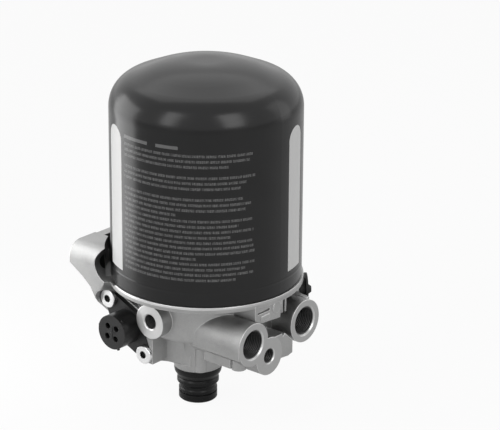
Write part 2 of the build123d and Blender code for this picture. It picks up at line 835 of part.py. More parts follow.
# Desiccant cup standing on the collar
cup_top = collar_top + cup_height
screen_low = collar_top + cup_floor_thickness + 2.0
with BuildPart() as desiccant_cup:
    with BuildSketch(can_axis.offset(collar_top)):
        Circle(cup_radius)
    extrude(amount=cup_height)
    with BuildSketch(can_axis.offset(collar_top + cup_floor_thickness)):
        Circle(cup_radius - cup_wall)
    extrude(amount=cup_height, mode=Mode.SUBTRACT)
    with BuildSketch(can_axis.offset(collar_top)):
        Circle(cup_drain_radius)
    extrude(amount=cup_floor_thickness, mode=Mode.SUBTRACT)
    # ribs that hold the lower screen off the floor
    with BuildSketch(can_axis.offset(collar_top + cup_floor_thickness)):
        with PolarLocations((cup_drain_radius + cup_radius) / 2, 6):
            Rectangle(cup_radius - cup_drain_radius - 8.0, 2.0)
    extrude(amount=screen_low - collar_top - cup_floor_thickness)

bed_radius = cup_radius - cup_wall - running_gap
with BuildPart() as lower_screen:
    with BuildSketch(can_axis.offset(screen_low)):
        Circle(bed_radius)
        for ring in (0.3 * bed_radius, 0.7 * bed_radius):
            with PolarLocations(ring, 8):
                Circle(screen_hole_radius, mode=Mode.SUBTRACT)
    extrude(amount=screen_thickness)

lower_fleece_level = screen_low + screen_thickness
with BuildPart() as lower_fleece:
    with BuildSketch(can_axis.offset(lower_fleece_level)):
        Circle(bed_radius)
    extrude(amount=fleece_thickness)

bed_level = lower_fleece_level + fleece_thickness
bed_height = cup_height - cup_headroom - (bed_level - collar_top) + 12.0
with BuildPart() as desiccant_bed:
    with BuildSketch(can_axis.offset(bed_level)):
        Circle(bed_radius)
    extrude(amount=bed_height)

upper_fleece_level = bed_level + bed_height
with BuildPart() as upper_fleece:
    with BuildSketch(can_axis.offset(upper_fleece_level)):
        Circle(bed_radius)
    extrude(amount=fleece_thickness)

upper_screen_level = upper_fleece_level + fleece_thickness
with BuildPart() as upper_screen:
    with BuildSketch(can_axis.offset(upper_screen_level)):
        Circle(bed_radius)
        with PolarLocations(0.7 * bed_radius, 8):
            Circle(screen_hole_radius, mode=Mode.SUBTRACT)
    extrude(amount=screen_thickness)
    with BuildSketch(can_axis.offset(upper_screen_level + screen_thickness)):
        Circle(press_spring_radius - 2.5)
        Circle(press_spring_radius - 4.0, mode=Mode.SUBTRACT)
    extrude(amount=3.0)

# Spring between the dome and the upper screen keeps the beads packed
press_low = upper_screen_level + screen_thickness + spring_wire
spring_reach = press_spring_radius + spring_wire - can_crown_flat
dome_clear = crown_centre_z + ((can_crown_radius - can_wall) ** 2 - spring_reach**2) ** 0.5
press_high = dome_clear - spring_wire - running_gap
with BuildPart() as press_spring:
    with BuildLine() as press_path:
        Helix(
            pitch=(press_high - press_low) / 3.0,
            height=press_high - press_low,
            radius=press_spring_radius,
            center=(axis_x, 0, seat_z + press_low),
        )
    with BuildSketch(
        Plane(origin=press_path.line @ 0, z_dir=press_path.line % 0)
    ):
        RegularPolygon(radius=spring_wire, side_count=8)
    sweep(path=press_path.line, is_frenet=True)

# Oil separator ring between the cup and the shell
with BuildPart() as oil_separator:
    with BuildSketch(can_axis.offset(plate_top)):
        Circle(inner_radius - running_gap)
        Circle(cup_radius + running_gap, mode=Mode.SUBTRACT)
    extrude(amount=separator_height)

# Drain valve: stem with its disc, and the piston on top
disc_low = valve_seat_level - valve_disc_height
piston_low = valve_piston_top - valve_piston_height
with BuildPart() as drain_stem:
    with BuildSketch(drain_section):
        with BuildLine():
            Polyline(
                (0, disc_low),
                (valve_disc_radius - 1.0, disc_low),
                (valve_disc_radius, disc_low + 1.0),
                (valve_disc_radius, valve_seat_level - 0.9),
                (valve_stem, valve_seat_level - 0.9),
                (valve_stem, piston_low),
                (valve_stem - 1.0, piston_low),
                (valve_stem - 1.0, valve_piston_top),
                (0, valve_piston_top),
                (0, disc_low),
            )
        make_face()
    revolve(axis=drain_axis)
with BuildPart() as drain_seat_ring:
    with BuildSketch(drain_section):
        with BuildLine():
            Polyline(
                (valve_stem + 0.02, valve_seat_level - 0.9),
                (valve_disc_radius - 0.4, valve_seat_level - 0.9),
                (valve_disc_radius - 0.4, valve_seat_level),
                (valve_stem + 0.02, valve_seat_level),
                (valve_stem + 0.02, valve_seat_level - 0.9),
            )
        make_face()
    revolve(axis=drain_axis)
with BuildPart() as drain_piston:
    with BuildSketch(drain_section):
        with BuildLine():
            Polyline(
                (valve_stem - 0.98, piston_low),
                (valve_bore - running_gap, piston_low),
                (valve_bore - running_gap, piston_low + 1.5),
                (valve_bore - 1.6, piston_low + 1.5),
                (valve_bore - 1.6, piston_low + 3.5),
                (valve_bore - running_gap, piston_low + 3.5),
                (valve_bore - running_gap, valve_piston_top),
                (valve_stem - 0.98, valve_piston_top),
                (valve_stem - 0.98, piston_low),
            )
        make_face()
    revolve(axis=drain_axis)
with BuildPart() as drain_piston_seal:
    with BuildSketch(drain_section):
        with BuildLine():
            Polyline(
                (valve_bore - 1.55, piston_low + 1.55),
                (valve_bore - 0.05, piston_low + 1.55),
                (valve_bore - 0.05, piston_low + 3.45),
                (valve_bore - 1.55, piston_low + 3.45),
                (valve_bore - 1.55, piston_low + 1.55),
            )
        make_face()
    revolve(axis=drain_axis)
drain_wire = 0.8
with BuildPart() as drain_spring:
    with BuildLine() as drain_path:
        Helix(
            pitch=(piston_low - guide_top - 2 * drain_wire) / 2.0,
            height=piston_low - guide_top - 2 * drain_wire,
            radius=valve_bore - 3.0,
            center=(axis_x, boss_y, seat_z + guide_top + drain_wire),
        )
    with BuildSketch(Plane(origin=drain_path.line @ 0, z_dir=drain_path.line % 0)):
        RegularPolygon(radius=drain_wire - 0.05, side_count=6)
    sweep(path=drain_path.line, is_frenet=True)

# Exhaust stub with flange, bead and hose end
with BuildPart() as exhaust_stub:
    with BuildSketch(drain_section):
        with BuildLine():
            Polyline(
                (stub_bore, stub_low_level + 0.6),
                (stub_bore + 0.6, stub_low_level),
                (stub_rim - 0.8, stub_low_level),
                (stub_rim, stub_low_level + 0.8),
                (stub_rim, -90.0),
                (stub_rim - 1.1, -89.8),
                (stub_rim - 1.1, -88.8),
                (stub_rim, -88.6),
                (stub_rim, -87.0),
                (stub_waist, -86.0),
                (stub_waist, -84.0),
                (15.2, -82.0),
                (15.2, -79.6),
                (14.4, -78.2),
                (16.9, -74.0),
                (boss_radius - 0.2, -72.2),
                (boss_radius - 0.2, boss_low_level),
                (stub_spigot - 0.2, boss_low_level),
                (stub_spigot - 0.2, -67.6),
                (stub_spigot - 1.4, -67.6),
                (stub_spigot - 1.4, -65.4),
                (stub_spigot - 0.2, -65.4),
                (stub_spigot - 0.2, stub_spigot_top),
                (stub_bore, stub_spigot_top),
                (stub_bore, stub_low_level + 0.6),
            )
        make_face()
    revolve(axis=drain_axis)
with BuildPart() as exhaust_seal:
    with BuildSketch(drain_section):
        with BuildLine():
            Polyline(
                (stub_spigot - 1.35, -67.5),
                (stub_spigot + 0.05, -67.5),
                (stub_spigot + 0.05, -65.5),
                (stub_spigot - 1.35, -65.5),
                (stub_spigot - 1.35, -67.5),
            )
        make_face()
    revolve(axis=drain_axis)

# Check valve behind the outlet port
check_y = port_ys[1]
with BuildPart() as check_disc:
    with BuildSketch(port_plane(check_y, port_level, check_seat_x)):
        Circle(check_disc_radius)
    extrude(amount=2.6)
    with BuildSketch(port_plane(check_y, port_level, check_seat_x + 2.6)):
        Circle(3.0)
    extrude(amount=check_cage_x - check_seat_x - 2.6 + 2.0)
with BuildPart() as check_cage:
    with BuildSketch(port_plane(check_y, port_level, check_cage_x)):
        Circle(check_bore - 0.05)
        Circle(3.0 + running_gap, mode=Mode.SUBTRACT)
        with PolarLocations(5.9, 4):
            Circle(1.7, mode=Mode.SUBTRACT)
    extrude(amount=3.0)
check_wire = 0.6
with BuildPart() as check_spring:
    with BuildLine() as check_path:
        Helix(
            pitch=(check_cage_x - check_seat_x - 2.6 - 2 * check_wire) / 2.5,
            height=check_cage_x - check_seat_x - 2.6 - 2 * check_wire,
            radius=4.6,
            center=(axis_x + check_seat_x + 2.6 + check_wire, check_y, seat_z + port_level),
            direction=(1, 0, 0),
        )
    with BuildSketch(Plane(origin=check_path.line @ 0, z_dir=check_path.line % 0)):
        RegularPolygon(radius=check_wire - 0.05, side_count=6)
    sweep(path=check_path.line, is_frenet=True)

# Small nozzle that meters the regeneration air
with BuildPart() as regeneration_nozzle:
    with BuildSketch(port_plane(regen_y, regen_level, nozzle_x)):
        Circle(nozzle_radius)
        Circle(0.7, mode=Mode.SUBTRACT)
    extrude(amount=6.0)

# Governor: piston, spring, adjusting screw and cap
with BuildPart() as governor_piston:
    with BuildSketch(governor_plane.offset(governor_bottom + 0.5)):
        Circle(governor_bore - 0.25)
    extrude(amount=5.0)
with BuildPart() as governor_screw:
    with BuildSketch(governor_plane.offset(governor_face - 5.5)):
        Circle(governor_bore - 0.1)
    extrude(amount=5.0)
    with BuildSketch(governor_plane.offset(governor_face - 0.5)):
        RegularPolygon(radius=2.6, side_count=6)
    extrude(amount=-3.0, mode=Mode.SUBTRACT)
governor_wire = 0.7
governor_spring_low = governor_bottom + 5.5 + governor_wire
governor_spring_length = governor_face - 5.5 - governor_wire - governor_spring_low
with BuildPart() as governor_spring:
    with BuildLine() as governor_path:
        Helix(
            pitch=governor_spring_length / 2.5,
            height=governor_spring_length,
            radius=4.2,
            center=(governor_plane.offset(governor_spring_low)).origin,
            direction=governor_plane.z_dir,
        )
    with BuildSketch(Plane(origin=governor_path.line @ 0, z_dir=governor_path.line % 0)):
        RegularPolygon(radius=governor_wire - 0.05, side_count=6)
    sweep(path=governor_path.line, is_frenet=True)
with BuildPart() as governor_cap:
    with BuildSketch(governor_plane.offset(governor_face - cap_skirt_length)):
        Circle(governor_outer + 0.05 + cap_skirt_wall)
        Circle(governor_outer + 0.05, mode=Mode.SUBTRACT)
    extrude(amount=cap_skirt_length)
    with BuildSketch(governor_plane.offset(governor_face)):
        Circle(cap_disc_radius)
    extrude(amount=cap_disc_thickness)
    with BuildSketch(governor_plane.offset(governor_face + cap_disc_thickness)):
        Circle(4.4)
    extrude(amount=cap_nose, taper=35)

# Heater: socket, seal, contacts, screws and heating rod
with BuildPart() as heater_socket:
    with BuildSketch(front_plane(0, 0, pad_y)):
        with Locations((socket_x, socket_level)):
            Circle(socket_neck)
        with Locations((ear_x, ear_level), (ear2_x, ear2_level)):
            Circle(ear_radius)
        make_hull()
    extrude(amount=socket_plate)
    with BuildSketch(front_plane(socket_x, socket_level, plate_front_y)):
        Circle(socket_radius)
    extrude(amount=socket_length)
    with BuildSketch(front_plane(socket_x, socket_level, plate_front_y - socket_length)):
        with PolarLocations(contact_circle, 4, start_angle=40):
            Circle(contact_hole)
    extrude(amount=-9.0, mode=Mode.SUBTRACT)
    with BuildSketch(front_plane(0, 0, plate_front_y)):
        with Locations((ear_x, ear_level), (ear2_x, ear2_level)):
            Circle(screw_radius + 0.3)
    extrude(amount=-socket_plate, mode=Mode.SUBTRACT)
with BuildPart() as socket_contacts:
    with BuildSketch(front_plane(socket_x, socket_level, plate_front_y - socket_length + 9.0)):
        with PolarLocations(contact_circle, 4, start_angle=40):
            Circle(contact_pin)
    extrude(amount=6.5)
with BuildPart() as socket_seal:
    with BuildSketch(front_plane(socket_x, socket_level, pad_y)):
        Circle(seal_circle + 1.1)
        Circle(seal_circle - 1.1, mode=Mode.SUBTRACT)
    extrude(amount=-1.6)
with BuildPart() as socket_screws:
    with BuildSketch(front_plane(0, 0, plate_front_y)):
        with Locations((ear_x, ear_level), (ear2_x, ear2_level)):
            Circle(screw_head_radius)
    extrude(amount=screw_head_height)
    fillet(socket_screws.faces().sort_by(Axis.Y)[0:2].edges(), radius=0.8)
    with BuildSketch(front_plane(0, 0, plate_front_y - screw_head_height)):
        with Locations((ear_x, ear_level), (ear2_x, ear2_level)):
            RegularPolygon(radius=3.0, side_count=6)
            RegularPolygon(radius=3.0, side_count=6, rotation=30)
    extrude(amount=-2.2, mode=Mode.SUBTRACT)
    with BuildSketch(front_plane(0, 0, plate_front_y)):
        with Locations((ear_x, ear_level), (ear2_x, ear2_level)):
            Circle(screw_radius - 0.45)
    extrude(amount=-screw_length)
with BuildPart() as heater_rod:
    with BuildSketch(front_plane(socket_x, socket_level, pad_y)):
        Circle(heater_radius)
    extrude(amount=-heater_depth)

pieces = {
    "housing": housing,
    "threaded_stud": threaded_stud,
    "canister_shell": canister_shell,
    "base_plate": base_plate,
    "cartridge_gasket": cartridge_gasket,
    "stud_seal": stud_seal,
    "desiccant_cup": desiccant_cup,
    "lower_screen": lower_screen,
    "lower_fleece": lower_fleece,
    "desiccant_bed": desiccant_bed,
    "upper_fleece": upper_fleece,
    "upper_screen": upper_screen,
    "press_spring": press_spring,
    "oil_separator": oil_separator,
    "drain_stem": drain_stem,
    "drain_seat_ring": drain_seat_ring,
    "drain_piston": drain_piston,
    "drain_piston_seal": drain_piston_seal,
    "drain_spring": drain_spring,
    "exhaust_stub": exhaust_stub,
    "exhaust_seal": exhaust_seal,
    "check_disc": check_disc,
    "check_cage": check_cage,
    "check_spring": check_spring,
    "regeneration_nozzle": regeneration_nozzle,
    "governor_piston": governor_piston,
    "governor_spring": governor_spring,
    "governor_screw": governor_screw,
    "governor_cap": governor_cap,
    "heater_socket": heater_socket,
    "socket_contacts": socket_contacts,
    "socket_seal": socket_seal,
    "socket_screws": socket_screws,
    "heater_rod": heater_rod,
}
for name, piece in pieces.items():
    piece.part.label = name
    export_step(piece.part, f"parts/{name}.step")
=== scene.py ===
# %% [markdown]
# # Air dryer with a spin-on desiccant cartridge
# The object dries compressed air for the brakes of a heavy vehicle. A black painted canister
# stands on a die-cast aluminium body with three threaded ports on one side, a heater socket
# and a control port on the front, and an exhaust stub underneath. The solid model gives every
# size, so this lesson adds what a drawing leaves out: finishes, threads, wear and light.

# %% Load the solid model
import math

import bmesh
import bpy
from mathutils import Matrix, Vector


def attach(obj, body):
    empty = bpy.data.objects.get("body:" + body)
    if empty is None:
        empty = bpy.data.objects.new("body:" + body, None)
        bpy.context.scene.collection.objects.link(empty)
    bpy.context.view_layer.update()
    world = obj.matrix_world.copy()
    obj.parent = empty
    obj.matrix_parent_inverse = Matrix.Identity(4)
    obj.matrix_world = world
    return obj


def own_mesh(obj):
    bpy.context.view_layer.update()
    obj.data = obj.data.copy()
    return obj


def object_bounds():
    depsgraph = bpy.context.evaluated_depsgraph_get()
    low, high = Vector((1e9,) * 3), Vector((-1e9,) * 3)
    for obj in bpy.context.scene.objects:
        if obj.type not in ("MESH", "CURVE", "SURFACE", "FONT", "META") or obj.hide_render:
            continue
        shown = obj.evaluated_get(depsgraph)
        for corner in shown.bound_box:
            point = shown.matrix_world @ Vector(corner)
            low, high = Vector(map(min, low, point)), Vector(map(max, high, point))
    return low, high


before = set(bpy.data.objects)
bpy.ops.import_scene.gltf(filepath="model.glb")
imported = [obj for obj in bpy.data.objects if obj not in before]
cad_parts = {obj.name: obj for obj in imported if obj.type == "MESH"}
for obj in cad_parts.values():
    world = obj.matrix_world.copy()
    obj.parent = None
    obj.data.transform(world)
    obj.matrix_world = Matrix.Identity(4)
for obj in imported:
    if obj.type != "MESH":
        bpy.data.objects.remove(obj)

solid_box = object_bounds()
box_corners = [round(value, 4) for corner in solid_box for value in corner]
print("solid model:", len(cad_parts), "pieces, box", box_corners)

# %% [markdown]
# ## Sizes that the pieces share
# The places of the ports and of the canister's axis are repeated from the drawing, in metres.
# They are used for the threads and for every finish that changes from place to place.

# %% Shared places
X_AXIS, Y_AXIS, Z_AXIS = (1.0, 0.0, 0.0), (0.0, 1.0, 0.0), (0.0, 0.0, 1.0)
can_axis_x = 0.077
seat_z = -0.009
can_radius = 0.0685
port_face_x = 0.1455
port_level_z = -0.0385
port_half_spacing = 0.0285
regeneration_centre = (port_face_x, -0.011, -0.0526)
pilot_centre = (0.077, -0.0607, -0.0299)
exhaust_centre = (0.077, -0.009, -0.1043)
screw_heads = ((0.0322, -0.0564, -0.0255), (0.0663, -0.0564, -0.0596))
mounting_holes = ((0.0, -0.05, 0.0), (0.0, 0.05, 0.0), (0.0, 0.0, -0.059))
large_ports = [(port_face_x, side * port_half_spacing, port_level_z) for side in (-1, 1)]
print("large ports at", large_ports)

# %% [markdown]
# ## Camera
# The photograph was taken with a long lens from the front right, about 20 degrees above the
# object, so upright edges stay nearly parallel. A 177 mm lens from 1.8 m gives that view.

# %% Camera
focal_length = 177.16
sideways_shift = 0.0876      # the object stands left of the picture's middle
camera_place = (1.1518, -1.2364, 0.6495)
camera_tilt = math.radians(69.39)
camera_turn = math.radians(41.0)

camera_data = bpy.data.cameras.new("photo_camera")
camera_data.lens = focal_length
camera_data.sensor_width = 36.0
camera_data.shift_x = sideways_shift
camera = bpy.data.objects.new("photo_camera", camera_data)
camera.location = camera_place
camera.rotation_euler = (camera_tilt, 0.0, camera_turn)
bpy.context.scene.collection.objects.link(camera)
bpy.context.scene.camera = camera
bpy.context.scene.view_settings.view_transform = "Standard"
print("camera", round(camera.location.length, 3), "m from the origin")

# %% [markdown]
# ## A short way to write node trees
# Every finish below is a tree of nodes. This small helper adds a node, feeds its sockets with
# values or with other nodes' outputs, and lays the nodes out in columns, so that a recipe reads
# from top to bottom like a list of steps.


# %% Node helper
class Recipe:
    """Adds nodes to one tree, in the order in which they are used."""

    def __init__(self, tree):
        self.tree = tree
        self.count = 0

    def add(self, kind, inputs=None, **settings):
        node = self.tree.nodes.new(kind)
        node.location = (200 * (self.count // 4), -220 * (self.count % 4))
        self.count += 1
        for name, value in settings.items():
            setattr(node, name, value)
        for name, value in (inputs or {}).items():
            self.feed(node.inputs[name], value)
        return node

    def feed(self, socket, value):
        if isinstance(value, bpy.types.NodeSocket):
            self.tree.links.new(value, socket)
        elif value is not None:
            socket.default_value = value

    def math(self, operation, first, second=None, third=None, clamp=False):
        node = self.add("ShaderNodeMath", {0: first, 1: second, 2: third}, operation=operation)
        node.use_clamp = clamp
        return node.outputs[0]

    def vector(self, operation, first, second=None, output="Vector"):
        node = self.add("ShaderNodeVectorMath", {0: first, 1: second}, operation=operation)
        return node.outputs[output]

    def noise(self, place, scale, detail=2.0, roughness=0.5, distortion=0.0):
        sizes = {"Vector": place, "Scale": scale, "Detail": detail}
        sizes.update({"Roughness": roughness, "Distortion": distortion})
        return self.add("ShaderNodeTexNoise", sizes).outputs["Fac"]

    def spread(self, value, low, high, to_low=0.0, to_high=1.0):
        levels = {"Value": value, "From Min": low, "From Max": high}
        levels.update({"To Min": to_low, "To Max": to_high})
        return self.add("ShaderNodeMapRange", levels, clamp=True).outputs["Result"]

    def blend(self, share, first, second):
        node = self.add("ShaderNodeMix", data_type="RGBA")
        self.feed(node.inputs["Factor"], share)
        self.feed(node.inputs[6], first)
        self.feed(node.inputs[7], second)
        return node.outputs[2]

    def between(self, share, first, second):
        node = self.add("ShaderNodeMix", data_type="FLOAT")
        self.feed(node.inputs[0], share)
        self.feed(node.inputs[2], first)
        self.feed(node.inputs[3], second)
        return node.outputs[0]

    def inside(self, value, low, high):
        above = self.math("GREATER_THAN", value, low)
        return self.math("MULTIPLY", above, self.math("LESS_THAN", value, high))

    def extreme(self, operation, values):
        """The highest or the lowest of several values, by MAXIMUM or MINIMUM."""
        found = values[0]
        for value in values[1:]:
            found = self.math(operation, found, value)
        return found

    def bump(self, strength, distance, height, normal=None):
        sizes = {"Strength": strength, "Distance": distance, "Height": height, "Normal": normal}
        return self.add("ShaderNodeBump", sizes).outputs["Normal"]


def start_group(name, inputs, outputs):
    """A shader node group with named inputs and outputs, ready to be filled."""
    group = bpy.data.node_groups.new(name, "ShaderNodeTree")
    for title, kind, value in inputs:
        socket = group.interface.new_socket(title, in_out="INPUT", socket_type=kind)
        if value is not None:
            socket.default_value = value
    for title, kind in outputs:
        group.interface.new_socket(title, in_out="OUTPUT", socket_type=kind)
    recipe = Recipe(group)
    arrive = recipe.add("NodeGroupInput")
    leave = recipe.add("NodeGroupOutput")
    return recipe, arrive.outputs, leave.inputs


FLOAT = "NodeSocketFloat"
VECTOR = "NodeSocketVector"
print("node helper ready")

# %% [markdown]
# ## Shared effect: a disc on a face
# Machined places are round spots on the casting: a port's face, a bore, a turned rim. The group
# takes the centre and the direction of the axis and gives two things: a mask that is one inside
# a short cylinder round that axis, and the distance from the axis, for lathe rings. Blender
# could also split the mesh by faces, but the mesh of the solid model stays as it is.

# %% Group: spot on an axis
recipe, given, result = start_group(
    "spot_on_axis",
    [("Position", VECTOR, None), ("Centre", VECTOR, None), ("Direction", VECTOR, Z_AXIS),
     ("Radius", FLOAT, 0.01), ("Half Depth", FLOAT, 0.0002), ("Softness", FLOAT, 0.0001)],
    [("Mask", FLOAT), ("Distance", FLOAT)],
)
offset = recipe.vector("SUBTRACT", given["Position"], given["Centre"])
along = recipe.vector("DOT_PRODUCT", offset, given["Direction"], "Value")
axis_part = recipe.add(
    "ShaderNodeVectorMath", {0: given["Direction"], "Scale": along}, operation="SCALE"
)
across = recipe.vector("SUBTRACT", offset, axis_part.outputs["Vector"])
distance = recipe.vector("LENGTH", across, None, "Value")
depth_left = recipe.math("SUBTRACT", given["Half Depth"], recipe.math("ABSOLUTE", along))
inside_depth = recipe.math("GREATER_THAN", depth_left, 0.0)
radius_left = recipe.math("SUBTRACT", given["Radius"], distance)
inside_radius = recipe.math("DIVIDE", radius_left, given["Softness"], clamp=True)
recipe.feed(result["Mask"], recipe.math("MULTIPLY", inside_depth, inside_radius))
recipe.feed(result["Distance"], distance)
spot_group = recipe.tree
print("group", spot_group.name, "with", len(spot_group.nodes), "nodes")

# %% [markdown]
# ## Shared effect: surface grain
# Cast, sprayed and moulded surfaces are never perfectly even. Two sizes of noise give a fine
# grain for the bump and a slow mottle for the colour and the gloss. One group serves all the
# materials, each with its own grain size.

# %% Group: grain and mottle
recipe, given, result = start_group(
    "surface_grain",
    [("Position", VECTOR, None), ("Grain Size", FLOAT, 0.0006), ("Mottle Size", FLOAT, 0.012)],
    [("Grain", FLOAT), ("Mottle", FLOAT), ("Height", FLOAT)],
)
grain_scale = recipe.math("DIVIDE", 1.0, given["Grain Size"])
mottle_scale = recipe.math("DIVIDE", 1.0, given["Mottle Size"])
fine = recipe.noise(given["Position"], grain_scale, 2.0, 0.6)
slow = recipe.noise(given["Position"], mottle_scale, 3.0, 0.55, 0.3)
coarse_scale = recipe.math("MULTIPLY", grain_scale, 0.23)
coarse = recipe.noise(given["Position"], coarse_scale, 2.0, 0.5)
recipe.feed(result["Grain"], recipe.spread(fine, 0.3, 0.7))
recipe.feed(result["Mottle"], recipe.spread(slow, 0.32, 0.68))
recipe.feed(result["Height"], recipe.math("MULTIPLY_ADD", coarse, 0.7, fine))
grain_group = recipe.tree
print("group", grain_group.name, "with", len(grain_group.nodes), "nodes")

# %% [markdown]
# ## Shared effect: worn edges
# Edges of a casting or of a painted sheet catch the light, because handling polishes them. The
# Bevel node gives the normal of a rounded copy of the surface. Where it turns away from the true
# normal there is an edge, so the angle between the two, broken up by noise, is the wear mask.

# %% Group: edge wear
recipe, given, result = start_group(
    "edge_wear",
    [("Position", VECTOR, None), ("Width", FLOAT, 0.0008), ("Breakup", FLOAT, 0.35)],
    [("Mask", FLOAT), ("Rounded Normal", VECTOR)],
)
rounded = recipe.add("ShaderNodeBevel", {"Radius": given["Width"]}, samples=6)
flat = recipe.add("ShaderNodeNewGeometry")
agreement = recipe.vector("DOT_PRODUCT", rounded.outputs["Normal"], flat.outputs["Normal"], "Value")
edge = recipe.spread(agreement, 0.995, 0.8)
patch_scale = 420.0
patches = recipe.noise(given["Position"], patch_scale, 3.0, 0.6)
kept = recipe.math("SUBTRACT", 1.0, recipe.math("MULTIPLY", given["Breakup"], patches))
recipe.feed(result["Mask"], recipe.math("MULTIPLY", edge, kept, clamp=True))
recipe.feed(result["Rounded Normal"], rounded.outputs["Normal"])
edge_group = recipe.tree
print("group", edge_group.name, "with", len(edge_group.nodes), "nodes")


# %% Placing a group in a material
def start_material(name):
    """A new material: its recipe, its Principled shader and the object's own coordinates."""
    material = bpy.data.materials.new(name)
    material.use_nodes = True
    material.node_tree.nodes.clear()
    recipe = Recipe(material.node_tree)
    shader = recipe.add("ShaderNodeBsdfPrincipled")
    output = recipe.add("ShaderNodeOutputMaterial", {"Surface": shader.outputs["BSDF"]})
    place = recipe.add("ShaderNodeTexCoord").outputs["Object"]
    shader.location = (2600, 0)
    output.location = (2900, 0)
    return material, recipe, shader.inputs, place


def use_group(recipe, group, **inputs):
    """One copy of a shared group, its inputs named with underscores for spaces."""
    node = recipe.add("ShaderNodeGroup")
    node.node_tree = group
    for name, value in inputs.items():
        recipe.feed(node.inputs[name.replace("_", " ")], value)
    return node.outputs


def dress(material, *names):
    """Gives a material to solid pieces by their node names."""
    for name in names:
        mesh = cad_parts[name].data
        mesh.materials.clear()
        mesh.materials.append(material)
    print(material.name, "on", ", ".join(names))


# %% [markdown]
# ## Cast aluminium
# The body is pressure die-cast and shot-blasted: a matt, light grey metal with a fine even
# grain. The port faces, the bores, the rim under the canister and the mounting face are cut
# afterwards, so they are brighter and carry fine rings from the tool. Their colour also holds
# painted light: it is lighter on cut faces that look to the front and darker on those that look
# to the side. One metal shader serves both, and the mask of the cut places changes its colour,
# its roughness and its bump.

# %% Material: cast aluminium
cast_aluminium, recipe, shader, place = start_material("cast_aluminium")
grain = use_group(recipe, grain_group, Position=place, Grain_Size=0.0007, Mottle_Size=0.016)
wear = use_group(recipe, edge_group, Position=place, Width=0.0009, Breakup=0.5)

# Each cut place is a disc: its centre, its direction, its radius and half its depth.
face_skin = 0.00012
large_face, large_mouth, large_mouth_depth = 0.0159, 0.0115, 0.0012
small_mouth, small_mouth_depth = 0.0062, 0.0009
regeneration_face, pilot_face = 0.0141, 0.0126
mounting_middle, mounting_reach = (0.0, 0.0, -0.02), 0.2
boss_reach, boss_depth = 0.0185, 0.0259
spots = [(centre, X_AXIS, large_face, face_skin) for centre in large_ports]
spots += [(centre, X_AXIS, large_mouth, large_mouth_depth) for centre in large_ports]
spots += [
    (regeneration_centre, X_AXIS, regeneration_face, face_skin),
    (regeneration_centre, X_AXIS, small_mouth, small_mouth_depth),
    (pilot_centre, Y_AXIS, pilot_face, face_skin),
    (pilot_centre, Y_AXIS, small_mouth, small_mouth_depth),
    (mounting_middle, X_AXIS, mounting_reach, face_skin),
    (exhaust_centre, Z_AXIS, boss_reach, boss_depth),
]
cut_masks, distances = [], []
for centre, direction, radius, depth in spots:
    spot = use_group(
        recipe, spot_group, Position=place, Centre=centre, Direction=direction,
        Radius=radius, Half_Depth=depth,
    )
    cut_masks.append(spot["Mask"])
    outside = recipe.math("SUBTRACT", 1.0, spot["Mask"])
    distances.append(recipe.math("ADD", spot["Distance"], outside))
ring_distance = recipe.extreme("MINIMUM", distances)

rim = use_group(
    recipe, spot_group, Position=place, Centre=(can_axis_x, 0.0, seat_z), Direction=Z_AXIS
)
rim_inner, rim_outer = 0.06965, 0.0699
rim_bottom, rim_top = -0.0111, -0.0093
rim_side = recipe.inside(rim["Distance"], rim_inner, rim_outer)
rim_height = recipe.add("ShaderNodeSeparateXYZ", {"Vector": place}).outputs["Z"]
rim_part = recipe.inside(rim_height, rim_bottom, rim_top)
cut_masks.append(recipe.math("MULTIPLY", rim_side, rim_part))
cut_mask = recipe.extreme("MAXIMUM", cut_masks)

cast_colour = recipe.blend(grain["Mottle"], (0.31, 0.31, 0.308, 1), (0.38, 0.38, 0.378, 1))
cast_colour = recipe.blend(
    recipe.math("MULTIPLY", grain["Grain"], 0.3), cast_colour, (0.5, 0.5, 0.497, 1)
)
# Painted light: cut faces that look to the front get a lighter colour and those that look to the
# side a darker one, standing in for how the lamps fall on them.
facing = recipe.add("ShaderNodeNewGeometry").outputs["Normal"]
to_front = recipe.vector("DOT_PRODUCT", facing, (0.0, -1.0, 0.0), "Value")
painted_front_light = recipe.spread(to_front, 0.2, 0.9)
cut_colour_with_painted_light = recipe.blend(painted_front_light, (0.42, 0.42, 0.418, 1), (0.66, 0.66, 0.657, 1))
metal_colour = recipe.blend(cut_mask, cast_colour, cut_colour_with_painted_light)
metal_colour = recipe.blend(wear["Mask"], metal_colour, (0.74, 0.74, 0.735, 1))

# %% [markdown]
# Inside the threaded holes the colour is painted nearly black as painted shade, since little
# light comes back out of a deep hole. The same disc group, made long and set behind the chamfer,
# marks the walls of the holes, and there the colour goes dark.

# %% Painted shade on the walls of the holes
hole_length = 0.06
large_hole, large_chamfer = 0.0107, 0.0011
small_hole, small_chamfer, plain_start = 0.0056, 0.0008, 0.0002
holes = [(centre, X_AXIS, large_hole, large_chamfer) for centre in large_ports]
holes += [(regeneration_centre, X_AXIS, small_hole, small_chamfer)]
holes += [(pilot_centre, (0.0, -1.0, 0.0), small_hole, small_chamfer)]
holes += [(centre, (-1.0, 0.0, 0.0), small_hole, plain_start) for centre in mounting_holes]
hole_shade_masks = []
for centre, outward, radius, first_depth in holes:
    middle = Vector(centre) - Vector(outward) * (first_depth + hole_length / 2)
    spot = use_group(
        recipe, spot_group, Position=place, Centre=tuple(middle), Direction=outward,
        Radius=radius, Half_Depth=hole_length / 2,
    )
    hole_shade_masks.append(spot["Mask"])
hole_shade_mask = recipe.extreme("MAXIMUM", hole_shade_masks)
# Painted shade: the walls of the holes are coloured nearly black.
metal_colour = recipe.blend(hole_shade_mask, metal_colour, (0.05, 0.05, 0.05, 1))
recipe.feed(shader["Base Color"], metal_colour)
shader["Metallic"].default_value = 1.0
cast_rough = recipe.spread(grain["Mottle"], 0.0, 1.0, 0.4, 0.5)
print("cut faces:", len(spots), "dark holes:", len(holes))

